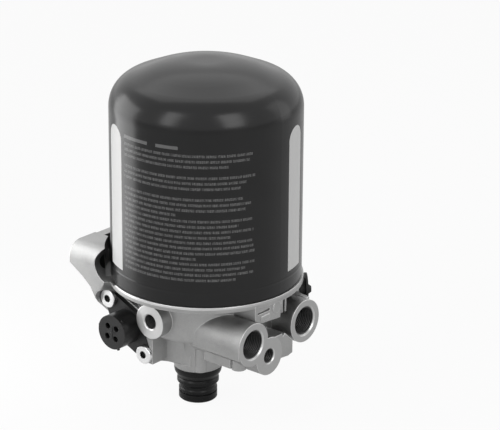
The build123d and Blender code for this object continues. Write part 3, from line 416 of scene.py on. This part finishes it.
# %% Bump of the casting and of the cut faces
ring_rate = 16000.0          # radians a metre, so the tool's rings lie 0.39 mm apart
recipe.feed(shader["Roughness"], recipe.between(cut_mask, cast_rough, 0.3))
rings = recipe.math("SINE", recipe.math("MULTIPLY", ring_distance, ring_rate))
ring_height = recipe.math("MULTIPLY", rings, recipe.math("MULTIPLY", cut_mask, 0.12))
cast_height = recipe.math("MULTIPLY", grain["Height"], recipe.math("SUBTRACT", 1.0, cut_mask))
height = recipe.math("ADD", cast_height, ring_height)
recipe.feed(shader["Normal"], recipe.bump(0.35, 0.0003, height, wear["Rounded Normal"]))
dress(cast_aluminium, "housing")

# %% [markdown]
# ## Painted canister
# The canister is deep drawn from steel sheet and sprayed gloss black, with a slight orange-peel
# texture. Two upright white stripes with round tops and a block of fine printed lines run round
# it. The stripes stay bare and the lines are plain dashes. All of it follows the wall, so the
# pattern reads the angle round the axis and the height, both worked out from the position.

# %% Material: black paint with printed stripes
canister_paint, recipe, shader, place = start_material("canister_paint")
from_axis = recipe.vector("SUBTRACT", place, (can_axis_x, 0.0, seat_z))
parts = recipe.add("ShaderNodeSeparateXYZ", {"Vector": from_axis}).outputs
angle = recipe.math("ARCTAN2", parts["Y"], parts["X"])
level = parts["Z"]
flat = recipe.vector("MULTIPLY", from_axis, (1.0, 1.0, 0.0))
flat_radius = recipe.vector("LENGTH", flat, None, "Value")
on_wall = recipe.math("GREATER_THAN", flat_radius, can_radius - 0.0003)
stripe_low, stripe_bend, stripe_half_width = 0.0141, 0.1095, 0.0098
stripe_middles = (-116.0, 15.9)


def stripe(middle_degrees):
    """A bare upright stripe: straight sides and bottom, half-round top."""
    from_middle = recipe.math("SUBTRACT", angle, math.radians(middle_degrees))
    sideways = recipe.math("POWER", recipe.math("MULTIPLY", from_middle, can_radius), 2.0)
    above = recipe.math("MAXIMUM", recipe.math("SUBTRACT", level, stripe_bend), 0.0)
    squared = recipe.math("ADD", sideways, recipe.math("POWER", above, 2.0))
    reach = recipe.math("SUBTRACT", stripe_half_width, recipe.math("SQRT", squared))
    inside = recipe.math("DIVIDE", reach, 0.0002, clamp=True)
    return recipe.math("MULTIPLY", inside, recipe.math("GREATER_THAN", level, stripe_low))


stripes = recipe.extreme("MAXIMUM", [stripe(degrees) for degrees in stripe_middles])
stripes = recipe.math("MULTIPLY", stripes, on_wall)

# %% [markdown]
# The dash block has 24 rows, 3.93 mm apart. The length of each row comes from a stepped ramp
# over the row's number, and a stretched cell pattern breaks each row into dashes.

# %% Printed dashes
row_top = 0.1118
row_pitch = 0.00393
row_value = recipe.math("DIVIDE", recipe.math("SUBTRACT", row_top, level), row_pitch)
row_number = recipe.math("FLOOR", row_value)
in_row = recipe.math("FRACT", row_value)
row_band = recipe.math("COMPARE", in_row, 0.46, 0.24)
block_start, block_end = -104.5, -19.0       # degrees round the canister
row_lengths = (
    0.97, 0.95, 0.80, 0.0, 0.99, 0.93, 0.89, 0.0, 0.90, 0.96, 0.92, 0.44,
    0.97, 0.87, 0.98, 0.82, 0.97, 0.98, 0.99, 0.58, 0.99, 0.92, 0.98, 0.85,
)
row_count = len(row_lengths)
ramp_node = recipe.add("ShaderNodeValToRGB")
ramp = ramp_node.color_ramp
ramp.interpolation = "CONSTANT"
ramp.elements.remove(ramp.elements[1])
for number, length in enumerate(row_lengths):
    stop = ramp.elements.new(number / row_count) if number else ramp.elements[0]
    stop.position = number / row_count
    stop.color = (length, length, length, 1.0)
share_down = recipe.math("DIVIDE", recipe.math("ADD", row_number, 0.5), float(row_count))
recipe.feed(ramp_node.inputs["Fac"], share_down)
row_length = ramp_node.outputs["Color"]
share_across = recipe.spread(angle, math.radians(block_start), math.radians(block_end))
right_of_start = recipe.math("GREATER_THAN", share_across, 0.001)
left_of_end = recipe.math("LESS_THAN", share_across, row_length)
in_block = recipe.math("MULTIPLY", right_of_start, left_of_end)
in_height = recipe.math("COMPARE", share_down, 0.5, 0.5)
in_block = recipe.math("MULTIPLY", in_block, in_height)
along_row = recipe.math("MULTIPLY", angle, can_radius)
shift_per_row = 7.37                         # starts each row at another place of the pattern
row_shift = recipe.math("MULTIPLY", row_number, shift_per_row)


def breaks(mean_length, narrow, wide):
    """One along a dash and zero in the gaps between dashes of about the given length."""
    position = recipe.math("MULTIPLY_ADD", along_row, 1.0 / mean_length, row_shift)
    cells = recipe.add(
        "ShaderNodeTexVoronoi", {"W": position, "Scale": 1.0, "Randomness": 0.9},
        voronoi_dimensions="1D", feature="DISTANCE_TO_EDGE",
    ).outputs["Distance"]
    return recipe.spread(cells, narrow, wide)


dash = recipe.math("MULTIPLY", breaks(0.0075, 0.03, 0.06), breaks(0.0012, -0.1, 0.25))
ink_scale = 900.0
ink = recipe.noise(place, ink_scale, 2.0, 0.7)
dashes = recipe.math("MULTIPLY", recipe.math("MULTIPLY", row_band, dash), in_block)
dashes = recipe.math("MULTIPLY", dashes, recipe.spread(ink, 0.35, 0.6, 0.35, 1.0))
dashes = recipe.math("MULTIPLY", dashes, on_wall)

# %% [markdown]
# Two short bolder dashes head the block. Then the colours are put together, and the paint gets
# its orange peel and the faint bead that the press leaves near the bottom of the wall.


# %% Heading dashes and paint
heading_level, heading_half_height = 0.1152, 0.0012


def heading(left_degrees, right_degrees):
    """A plain bar over the dashes, between two places round the canister."""
    middle = math.radians((left_degrees + right_degrees) / 2)
    half_width = math.radians((right_degrees - left_degrees) / 2)
    wide = recipe.math("COMPARE", angle, middle, half_width)
    tall = recipe.math("COMPARE", level, heading_level, heading_half_height)
    return recipe.math("MULTIPLY", wide, tall)


headings = recipe.math("MAXIMUM", heading(block_start, -85.1), heading(-79.3, -65.3))
print_mask = recipe.math("MAXIMUM", dashes, recipe.math("MULTIPLY", headings, on_wall))
grain = use_group(recipe, grain_group, Position=place, Grain_Size=0.0022, Mottle_Size=0.03)
black = recipe.blend(grain["Mottle"], (0.004, 0.004, 0.0042, 1), (0.0065, 0.0065, 0.0068, 1))
painted = recipe.blend(recipe.math("MULTIPLY", print_mask, 0.7), black, (0.2, 0.2, 0.2, 1))
painted = recipe.blend(stripes, painted, (0.66, 0.66, 0.656, 1))
recipe.feed(shader["Base Color"], painted)
recipe.feed(shader["Roughness"], recipe.spread(grain["Mottle"], 0.0, 1.0, 0.2, 0.26))
recipe.feed(shader["Specular IOR Level"], recipe.between(stripes, 0.37, 0.12))
bead_level, bead_half_width = 0.0098, 0.0012
peel = recipe.bump(0.05, 0.0002, grain["Height"])
from_bead = recipe.math("ABSOLUTE", recipe.math("SUBTRACT", level, bead_level))
bead = recipe.spread(from_bead, bead_half_width, 0.0)
recipe.feed(shader["Normal"], recipe.bump(0.35, 0.0004, bead, peel))
dress(canister_paint, "canister_shell")


# %% [markdown]
# ## Rubber, plastic and small steel parts
# The governor's cap is black rubber, the heater socket is glass-filled plastic with a fine
# moulded texture, and the screws are zinc plated. They differ in colour, gloss and grain, so
# two helpers with named values make them all: one for metals, one for plastics and rubbers.


# %% Materials: metals and plastics by the same two recipes
def small_metal(name, dark, light, rough_low, rough_high, bump_strength=0.12):
    """A plated or turned metal between two colours and two roughnesses."""
    material, recipe, shader, place = start_material(name)
    grain = use_group(recipe, grain_group, Position=place, Grain_Size=0.0005, Mottle_Size=0.007)
    wear = use_group(recipe, edge_group, Position=place, Width=0.0003, Breakup=0.4)
    colour = recipe.blend(grain["Mottle"], dark + (1.0,), light + (1.0,))
    bright = tuple(min(1.0, value * 1.25) for value in light) + (1.0,)
    recipe.feed(shader["Base Color"], recipe.blend(wear["Mask"], colour, bright))
    shader["Metallic"].default_value = 1.0
    recipe.feed(shader["Roughness"], recipe.spread(grain["Grain"], 0.0, 1.0, rough_low, rough_high))
    normal = recipe.bump(bump_strength, 0.0001, grain["Height"], wear["Rounded Normal"])
    recipe.feed(shader["Normal"], normal)
    return material


def moulded(
    name, dark, light, rough_low, rough_high, grain_size=0.0004, bump_strength=0.2, gloss=0.5
):
    """A plastic or rubber between two colours and two roughnesses."""
    material, recipe, shader, place = start_material(name)
    grain = use_group(recipe, grain_group, Position=place, Grain_Size=grain_size, Mottle_Size=0.01)
    wear = use_group(recipe, edge_group, Position=place, Width=0.0004, Breakup=0.6)
    colour = recipe.blend(grain["Mottle"], dark + (1.0,), light + (1.0,))
    worn = tuple(value * 1.5 for value in light) + (1.0,)
    recipe.feed(shader["Base Color"], recipe.blend(wear["Mask"], colour, worn))
    shader["Specular IOR Level"].default_value = gloss
    recipe.feed(shader["Roughness"], recipe.spread(grain["Grain"], 0.0, 1.0, rough_low, rough_high))
    normal = recipe.bump(bump_strength, 0.0001, grain["Height"], wear["Rounded Normal"])
    recipe.feed(shader["Normal"], normal)
    return material


def grey(value):
    return (value, value, value)


zinc_plate = small_metal("zinc_plate", grey(0.72), grey(0.82), 0.2, 0.34)
bare_steel = small_metal("bare_steel", grey(0.5), (0.6, 0.6, 0.595), 0.3, 0.42)
spring_steel = small_metal("spring_steel", (0.36, 0.35, 0.34), (0.46, 0.45, 0.44), 0.32, 0.45)
turned_brass = small_metal("turned_brass", (0.68, 0.5, 0.25), (0.78, 0.6, 0.33), 0.22, 0.35)
tin_contact = small_metal("tin_contact", (0.7, 0.69, 0.67), (0.8, 0.79, 0.77), 0.2, 0.3)
turned_aluminium = small_metal("turned_aluminium", grey(0.66), grey(0.76), 0.24, 0.36)
black_rubber = moulded("black_rubber", grey(0.007), grey(0.012), 0.5, 0.65, gloss=0.35)
socket_plastic = moulded("socket_plastic", grey(0.008), grey(0.014), 0.34, 0.46, gloss=0.4)
stub_plastic = moulded(
    "stub_plastic", (0.004, 0.004, 0.0042), (0.007, 0.007, 0.0072), 0.26, 0.36, gloss=0.22
)
pale_plastic = moulded("pale_plastic", (0.55, 0.54, 0.5), (0.64, 0.63, 0.59), 0.4, 0.5)
white_fleece = moulded(
    "white_fleece", (0.62, 0.61, 0.58), (0.76, 0.75, 0.72), 0.85, 0.95, 0.0009, 0.9
)

dress(zinc_plate, "base_plate", "governor_screw")
dress(bare_steel, "threaded_stud", "lower_screen", "upper_screen", "heater_rod")
dress(spring_steel, "press_spring", "drain_spring", "check_spring", "governor_spring")
dress(turned_brass, "regeneration_nozzle", "drain_seat_ring")
dress(tin_contact, "socket_contacts")
dress(turned_aluminium, "drain_stem", "governor_piston", "oil_separator")
dress(
    black_rubber, "cartridge_gasket", "stud_seal", "drain_piston_seal", "exhaust_seal",
    "socket_seal", "governor_cap",
)
dress(socket_plastic, "heater_socket")
dress(stub_plastic, "exhaust_stub", "drain_piston", "check_disc", "check_cage")
dress(pale_plastic, "desiccant_cup")
dress(white_fleece, "lower_fleece", "upper_fleece")

# %% [markdown]
# ## Screw heads
# The two screws of the socket are bright zinc. Their drive recess is deep, so it is painted
# almost black as painted shade. The disc group marks it again, a fraction below the front of the
# head.

# %% Material: bright zinc with painted shade in the recesses
screw_zinc, recipe, shader, place = start_material("screw_zinc")
grain = use_group(recipe, grain_group, Position=place, Grain_Size=0.0006, Mottle_Size=0.004)
wear = use_group(recipe, edge_group, Position=place, Width=0.0004, Breakup=0.3)
recess_radius, recess_start, recess_half_depth = 0.0033, 0.0002, 0.0017
recess_shade_masks = []
for head_x, head_y, head_z in screw_heads:
    middle = (head_x, head_y + recess_start + recess_half_depth, head_z)
    spot = use_group(
        recipe, spot_group, Position=place, Centre=middle, Direction=Y_AXIS,
        Radius=recess_radius, Half_Depth=recess_half_depth,
    )
    recess_shade_masks.append(spot["Mask"])
recess_shade_mask = recipe.extreme("MAXIMUM", recess_shade_masks)
zinc = recipe.blend(grain["Mottle"], (0.8, 0.8, 0.8, 1), (0.88, 0.88, 0.88, 1))
zinc = recipe.blend(wear["Mask"], zinc, (0.93, 0.93, 0.93, 1))
# Painted shade: the drive recesses are coloured nearly black.
recipe.feed(shader["Base Color"], recipe.blend(recess_shade_mask, zinc, (0.06, 0.06, 0.06, 1)))
shader["Metallic"].default_value = 1.0
recipe.feed(shader["Roughness"], recipe.spread(grain["Grain"], 0.0, 1.0, 0.24, 0.36))
recipe.feed(shader["Normal"], recipe.bump(0.1, 0.0001, grain["Height"], wear["Rounded Normal"]))
dress(screw_zinc, "socket_screws")

# %% [markdown]
# ## Desiccant
# The bed is a packing of small round beads. From outside it is never seen, so a cell pattern
# gives the beads: the distance to each cell's middle is the height of a bead.

# %% Material: desiccant beads
desiccant_beads, recipe, shader, place = start_material("desiccant_beads")
cells_per_metre = 480.0
bead_cells = recipe.add(
    "ShaderNodeTexVoronoi", {"Vector": place, "Scale": cells_per_metre, "Randomness": 0.7}
)
tint = recipe.add("ShaderNodeSeparateColor", {"Color": bead_cells.outputs["Color"]}).outputs[0]
recipe.feed(shader["Base Color"], recipe.blend(tint, (0.62, 0.56, 0.46, 1), (0.78, 0.73, 0.63, 1)))
shader["Roughness"].default_value = 0.75
bead_height = recipe.math("SUBTRACT", 1.0, bead_cells.outputs["Distance"])
recipe.feed(shader["Normal"], recipe.bump(0.9, 0.0012, bead_height))
dress(desiccant_beads, "desiccant_bed")

# %% [markdown]
# ## Screw threads
# Every port and mounting hole has a thread, and so has the stud. A thread is one ridge wound
# along a helix. Geometry Nodes draw the helix with the Spiral curve and sweep a small diamond
# along it, so that half the diamond stands out of the wall. One tree with named inputs makes
# them all, and each result becomes a plain mesh, turned to its own axis.

# %% Geometry node tree for a thread
thread_tree = bpy.data.node_groups.new("thread_ridge", "GeometryNodeTree")
for title, kind, value in (
    ("Radius", FLOAT, 0.01), ("Pitch", FLOAT, 0.0015), ("Turns", FLOAT, 8.0),
    ("Depth", FLOAT, 0.0005), ("Finish", "NodeSocketMaterial", None),
):
    socket = thread_tree.interface.new_socket(title, in_out="INPUT", socket_type=kind)
    if value is not None:
        socket.default_value = value
thread_tree.interface.new_socket("Geometry", in_out="OUTPUT", socket_type="NodeSocketGeometry")
recipe = Recipe(thread_tree)
given = recipe.add("NodeGroupInput").outputs
length = recipe.math("MULTIPLY", given["Pitch"], given["Turns"])
spiral = recipe.add(
    "GeometryNodeCurveSpiral",
    {"Resolution": 40, "Rotations": given["Turns"], "Start Radius": given["Radius"],
     "End Radius": given["Radius"], "Height": length, "Reverse": True},
)
upright = recipe.add(
    "GeometryNodeSetCurveNormal", {"Curve": spiral.outputs[0]}, mode="Z_UP"
)
diamond = recipe.add("GeometryNodeCurvePrimitiveCircle", {"Resolution": 4, "Radius": 1.0})
half_pitch = recipe.math("MULTIPLY", given["Pitch"], 0.49)
diamond_size = recipe.add("ShaderNodeCombineXYZ", {"X": given["Depth"], "Y": half_pitch, "Z": 1.0})
section = recipe.add(
    "GeometryNodeTransform",
    {"Geometry": diamond.outputs["Curve"], "Scale": diamond_size.outputs[0]},
)
ridge = recipe.add(
    "GeometryNodeCurveToMesh",
    {"Curve": upright.outputs[0], "Profile Curve": section.outputs[0], "Fill Caps": True},
)
realized = recipe.add("GeometryNodeRealizeInstances", {"Geometry": ridge.outputs[0]})
finished = recipe.add(
    "GeometryNodeSetMaterial", {"Geometry": realized.outputs[0], "Material": given["Finish"]}
)
leave = recipe.add("NodeGroupOutput")
recipe.feed(leave.inputs["Geometry"], finished.outputs[0])
thread_inputs = {item.name: item.identifier for item in thread_tree.interface.items_tree
                 if item.in_out == "INPUT"}
print("thread tree with inputs", sorted(thread_inputs))


# %% Making one thread
def wind_thread(name, centre, direction, radius, pitch, turns, depth, material):
    """A thread ridge that starts at centre and runs along direction, as a plain mesh."""
    holder = bpy.data.objects.new(name + "_maker", bpy.data.meshes.new(name + "_maker"))
    bpy.context.scene.collection.objects.link(holder)
    modifier = holder.modifiers.new("thread", "NODES")
    modifier.node_group = thread_tree
    values = {"Radius": radius, "Pitch": pitch, "Turns": turns, "Depth": depth}
    values["Finish"] = material
    for title, value in values.items():
        modifier[thread_inputs[title]] = value
    bpy.context.view_layer.update()
    evaluated = holder.evaluated_get(bpy.context.evaluated_depsgraph_get())
    mesh = bpy.data.meshes.new_from_object(evaluated)
    bpy.data.objects.remove(holder)
    turn = Vector(Z_AXIS).rotation_difference(Vector(direction)).to_matrix().to_4x4()
    turn.translation = Vector(centre)
    mesh.transform(turn)
    mesh.name = name
    mesh.materials.clear()
    mesh.materials.append(material)
    piece = bpy.data.objects.new(name, mesh)
    bpy.context.scene.collection.objects.link(piece)
    print(name, len(mesh.polygons), "faces")
    return piece


# %% Threads of the ports and the mounting holes
inward = (-1.0, 0.0, 0.0)
fine_pitch = 0.0015
large_core, large_lead, large_depth = 0.01019, 0.0012, 0.0006
small_core, small_lead, small_depth = 0.00519, 0.001, 0.0005
stud_crest, stud_lead, stud_depth = 0.0201, 0.0012, 0.0003
# Painted shade: the ridges inside the holes are coloured nearly black to match the shaded hole
# walls, not the bright colour of cut aluminium.
thread_shade_metal = small_metal("thread_shade_metal", grey(0.07), grey(0.11), 0.3, 0.42)
threads = []
for title, centre in zip(("inlet", "outlet"), large_ports):
    start = Vector(centre) + Vector(inward) * large_lead
    threads.append(wind_thread(
        title + "_thread", start, inward, large_core, fine_pitch, 8.5, large_depth, thread_shade_metal
    ))
small_holes = (
    ("regeneration_thread", regeneration_centre, inward, 6.5),
    ("pilot_thread", pilot_centre, Y_AXIS, 6.5),
    ("left_hole_thread", mounting_holes[0], X_AXIS, 11.0),
    ("right_hole_thread", mounting_holes[1], X_AXIS, 11.0),
    ("lower_hole_thread", mounting_holes[2], X_AXIS, 11.0),
)
for title, centre, direction, turns in small_holes:
    start = Vector(centre) + Vector(direction) * small_lead
    threads.append(wind_thread(
        title, start, direction, small_core, fine_pitch, turns, small_depth, thread_shade_metal
    ))
for piece in threads:
    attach(piece, "housing_body")
stud_start = (can_axis_x, 0.0, seat_z + stud_lead)
stud_thread = wind_thread(
    "stud_thread", stud_start, Z_AXIS, stud_crest, fine_pitch, 6.0, stud_depth, bare_steel
)
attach(stud_thread, "housing_body")

# %% [markdown]
# ## Blend between the socket pad and the drain boss
# In the casting a smooth concave wall runs from the block beside the lower screw round to the
# drain boss, and its underside slopes down to the boss. A curve gives the concave line in plan,
# an arc inside the boss's wall closes it, and mesh code joins a top and a sloping bottom copy.


# %% Casting blend
def at(x, y, level):
    """A point given in millimetres from the canister's axis and seat."""
    return Vector((can_axis_x + x / 1000, y / 1000, seat_z + level / 1000))


def add_piece(name, builder, material, body, smooth_angle=0.7):
    """Turns a bmesh into a finished piece with its material and body."""
    bmesh.ops.remove_doubles(builder, verts=builder.verts, dist=1e-6)
    bmesh.ops.recalc_face_normals(builder, faces=builder.faces)
    for face in builder.faces:
        face.smooth = True
    for edge in builder.edges:
        turned = len(edge.link_faces) == 2 and edge.calc_face_angle() > smooth_angle
        edge.smooth = not turned
    mesh = bpy.data.meshes.new(name)
    builder.to_mesh(mesh)
    builder.free()
    mesh.materials.append(material)
    piece = bpy.data.objects.new(name, mesh)
    bpy.context.scene.collection.objects.link(piece)
    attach(piece, body)
    print(name, len(mesh.polygons), "faces")


blend_top, blend_low, blend_slope = -35.0, -56.6, 0.42
blend_front = -45.0                          # the underside is level in front of this
arc_middle_y, arc_radius, arc_start, arc_sweep = -9.0, 16.6, -66.0, -90.0
hidden_corner = Vector((-13.0, -38.0))
lowest_point = at(-8.0, -33.0, -62.5)
controls = [Vector(pair) for pair in ((-4.4, -46.0), (-4.4, -35.5), (-3.0, -28.5), (7.5, -25.7))]
curve_steps, arc_steps = 16, 8
plan = []
for step in range(curve_steps + 1):
    t = step / curve_steps
    weights = ((1 - t) ** 3, 3 * t * (1 - t) ** 2, 3 * t * t * (1 - t), t**3)
    plan.append(sum((w * c for w, c in zip(weights, controls)), Vector((0.0, 0.0))))
for step in range(arc_steps + 1):
    turn = math.radians(arc_start + arc_sweep * step / arc_steps)
    plan.append(Vector((arc_radius * math.cos(turn), arc_middle_y + arc_radius * math.sin(turn))))
plan.append(hidden_corner)
builder = bmesh.new()
top = [builder.verts.new(at(point.x, point.y, blend_top)) for point in plan]
low = []
for point in plan:
    fall = max(0.0, point.y - blend_front) * blend_slope
    low.append(builder.verts.new(at(point.x, point.y, blend_low - fall)))
for first in range(len(plan)):
    after = (first + 1) % len(plan)
    builder.faces.new((top[first], top[after], low[after], low[first]))
builder.faces.new(top)
middle = builder.verts.new(lowest_point)
for first in range(len(plan)):
    builder.faces.new((low[first], low[(first + 1) % len(plan)], middle))
add_piece("casting_blend", builder, cast_aluminium, "housing_body")

# %% [markdown]
# ## Locking lugs and key of the socket
# Round plugs of this kind lock with a quarter turn behind three small lugs. A key rib in the
# middle of the face keeps the plug from going in the wrong way round. Both are short prisms:
# a ring of corners is pushed out along an axis, and its outer end is drawn in for the moulding.


# %% Socket lugs and key
def tapered_prism(builder, base, reach, across, along, sides=10, draft=0.8):
    """A prism with an elliptic foot at base, pointing along reach, narrower at its end."""
    axis = reach.normalized()
    side = axis.orthogonal().normalized()
    if abs(axis.y) > 0.9:
        side = Vector((1.0, 0.0, 0.0))
    other = axis.cross(side)
    foot, head = [], []
    for corner in range(sides):
        turn = 2 * math.pi * (corner + 0.5) / sides
        offset = side * (across * math.cos(turn)) + other * (along * math.sin(turn))
        foot.append(builder.verts.new(base + offset))
        head.append(builder.verts.new(base + reach + offset * draft))
    for corner in range(sides):
        after = (corner + 1) % sides
        builder.faces.new((foot[corner], foot[after], head[after], head[corner]))
    builder.faces.new(foot)
    builder.faces.new(head)


socket_x, socket_level = -27.75, -33.55
lug_middle = at(socket_x, -68.2, socket_level)
key_foot = at(socket_x, -70.0, socket_level)
lug_foot, lug_reach, lug_radius = 0.0122, 0.0017, 0.0012
builder = bmesh.new()
for degrees in (170.0, 290.0, 50.0):
    turn = math.radians(degrees)
    outward = Vector((math.cos(turn), 0.0, math.sin(turn)))
    foot_place = lug_middle + outward * lug_foot
    tapered_prism(builder, foot_place, outward * lug_reach, lug_radius, lug_radius)
upright, level_rib = (0.0005, 0.0008, 0.0058), (0.0004, 0.0042, 0.0006)
for height, across, along in (upright, level_rib):
    push = Vector((0.0, -height, 0.0))
    tapered_prism(builder, key_foot, push, across, along, sides=14, draft=0.85)
add_piece("socket_lugs", builder, socket_plastic, "housing_body")

# %% [markdown]
# ## Springs of the valves
# Three small springs hold the drain valve, the check valve and the governor's piston at rest.
# Each gets a mesh of its own, and its reach along its axis from the seat at its far end is worked
# out.

# %% Springs with meshes of their own
diagonal = math.sqrt(0.5)
drain_seat_z, check_seat_x = -0.05, 0.123
governor_reach = 0.0656 * diagonal           # its seat is 65.6 mm from the canister's axis
governor_seat = (can_axis_x + governor_reach, governor_reach, 0.0)
springs = (
    ("drain_spring", "drain_open", Z_AXIS, (0.0, 0.0, drain_seat_z)),
    ("check_spring", "check_open", X_AXIS, (check_seat_x, 0.0, 0.0)),
    ("governor_spring", "governor_travel", (diagonal, diagonal, 0.0), governor_seat),
)
for name, joint, axis, seat in springs:
    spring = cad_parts[name]
    offsets = [vertex.co - Vector(seat) for vertex in spring.data.vertices]
    length = max(abs(offset.dot(Vector(axis))) for offset in offsets)
    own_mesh(spring)

# %% [markdown]
# ## Studio
# A pale floor under the object and five soft lamps round it. The near lamp on the left makes
# the broad highlight down the canister, two lamps in front make the soft windows on its
# shoulder, a wide one behind fills the dome, and a strip lights the right side. Seen by the
# camera the floor is nearly white by its own glow, and mirrored rays see part of that glow too.
# The rest of it stays a diffuse surface, so the object keeps its shadow.

# %% Floor
floor_reach, floor_level = 6.0, -0.1045
camera_glow, mirrored_glow = 0.93, 0.4
square = ((-1, -1), (1, -1), (1, 1), (-1, 1))
floor_corners = [(x * floor_reach, y * floor_reach, floor_level) for x, y in square]
floor_mesh = bpy.data.meshes.new("studio_floor")
floor_mesh.from_pydata(floor_corners, [], [(0, 1, 2, 3)])
floor = bpy.data.objects.new("studio_floor", floor_mesh)
bpy.context.scene.collection.objects.link(floor)
floor_paper = bpy.data.materials.new("floor_paper")
floor_paper.use_nodes = True
floor_paper.node_tree.nodes.clear()
recipe = Recipe(floor_paper.node_tree)
path = recipe.add("ShaderNodeLightPath").outputs
mirrored = recipe.math("MAXIMUM", path["Is Glossy Ray"], path["Is Transmission Ray"])
paper = recipe.add("ShaderNodeBsdfDiffuse", {"Color": (0.8, 0.8, 0.8, 1.0)})
glow = recipe.add("ShaderNodeEmission", {"Color": (1.0, 1.0, 1.0, 1.0), "Strength": 1.0})
camera_share = recipe.math("MULTIPLY", path["Is Camera Ray"], camera_glow)
mirrored_share = recipe.math("MULTIPLY", mirrored, mirrored_glow)
glow_share = recipe.math("MAXIMUM", camera_share, mirrored_share)
mixed = recipe.add(
    "ShaderNodeMixShader", {0: glow_share, 1: paper.outputs[0], 2: glow.outputs[0]}
)
recipe.add("ShaderNodeOutputMaterial", {"Surface": mixed.outputs[0]})
floor_mesh.materials.append(floor_paper)
print("floor at", floor_level)

# %% World
world = bpy.data.worlds.new("studio_air")
bpy.context.scene.world = world
world.use_nodes = True
world.node_tree.nodes.clear()
recipe = Recipe(world.node_tree)
path = recipe.add("ShaderNodeLightPath").outputs
seen = recipe.math("MAXIMUM", path["Is Camera Ray"], path["Is Glossy Ray"])
seen = recipe.math("MAXIMUM", seen, path["Is Transmission Ray"])
background = recipe.add("ShaderNodeBackground", {"Color": (1.0, 1.0, 1.0, 1.0)})
fill_strength, seen_strength = 0.3, 1.0
recipe.feed(background.inputs["Strength"], recipe.between(seen, fill_strength, seen_strength))
recipe.add("ShaderNodeOutputWorld", {"Surface": background.outputs[0]})
print("world ready")


# %% Lamps
def soft_lamp(name, azimuth, elevation, distance, width, height, radiance):
    """A square lamp that faces the object; radiance is the brightness of its surface."""
    data = bpy.data.lights.new(name, "AREA")
    data.shape = "RECTANGLE"
    data.size = width
    data.size_y = height
    data.energy = radiance * math.pi * width * height
    lamp = bpy.data.objects.new(name, data)
    turn, lift = math.radians(azimuth), math.radians(elevation)
    aim = Vector((can_axis_x, 0.0, 0.03))
    level_out = Vector((math.cos(turn), math.sin(turn), 0.0)) * math.cos(lift)
    out = level_out + Vector((0.0, 0.0, math.sin(lift)))
    lamp.location = aim + out * distance
    lamp.rotation_mode = "QUATERNION"
    lamp.rotation_quaternion = out.to_track_quat("Z", "Y")
    lamp.visible_camera = False
    bpy.context.scene.collection.objects.link(lamp)
    print(name, "energy", round(data.energy, 2))
    return lamp


# azimuth and elevation in degrees, distance, width and height in metres, radiance
lamps = {
    "left_softbox": (-151.0, 8.5, 0.29, 0.2, 0.34, 2.65),
    "front_left_window": (-94.0, 30.0, 1.5, 0.42, 1.15, 3.0),
    "front_right_window": (-17.0, 30.0, 1.5, 0.6, 1.15, 2.6),
    "overhead": (131.0, 62.0, 1.4, 1.6, 1.0, 0.8),
    "right_strip": (52.0, 15.0, 1.3, 0.5, 1.2, 0.8),
}
for name, sizes in lamps.items():
    soft_lamp(name, *sizes)
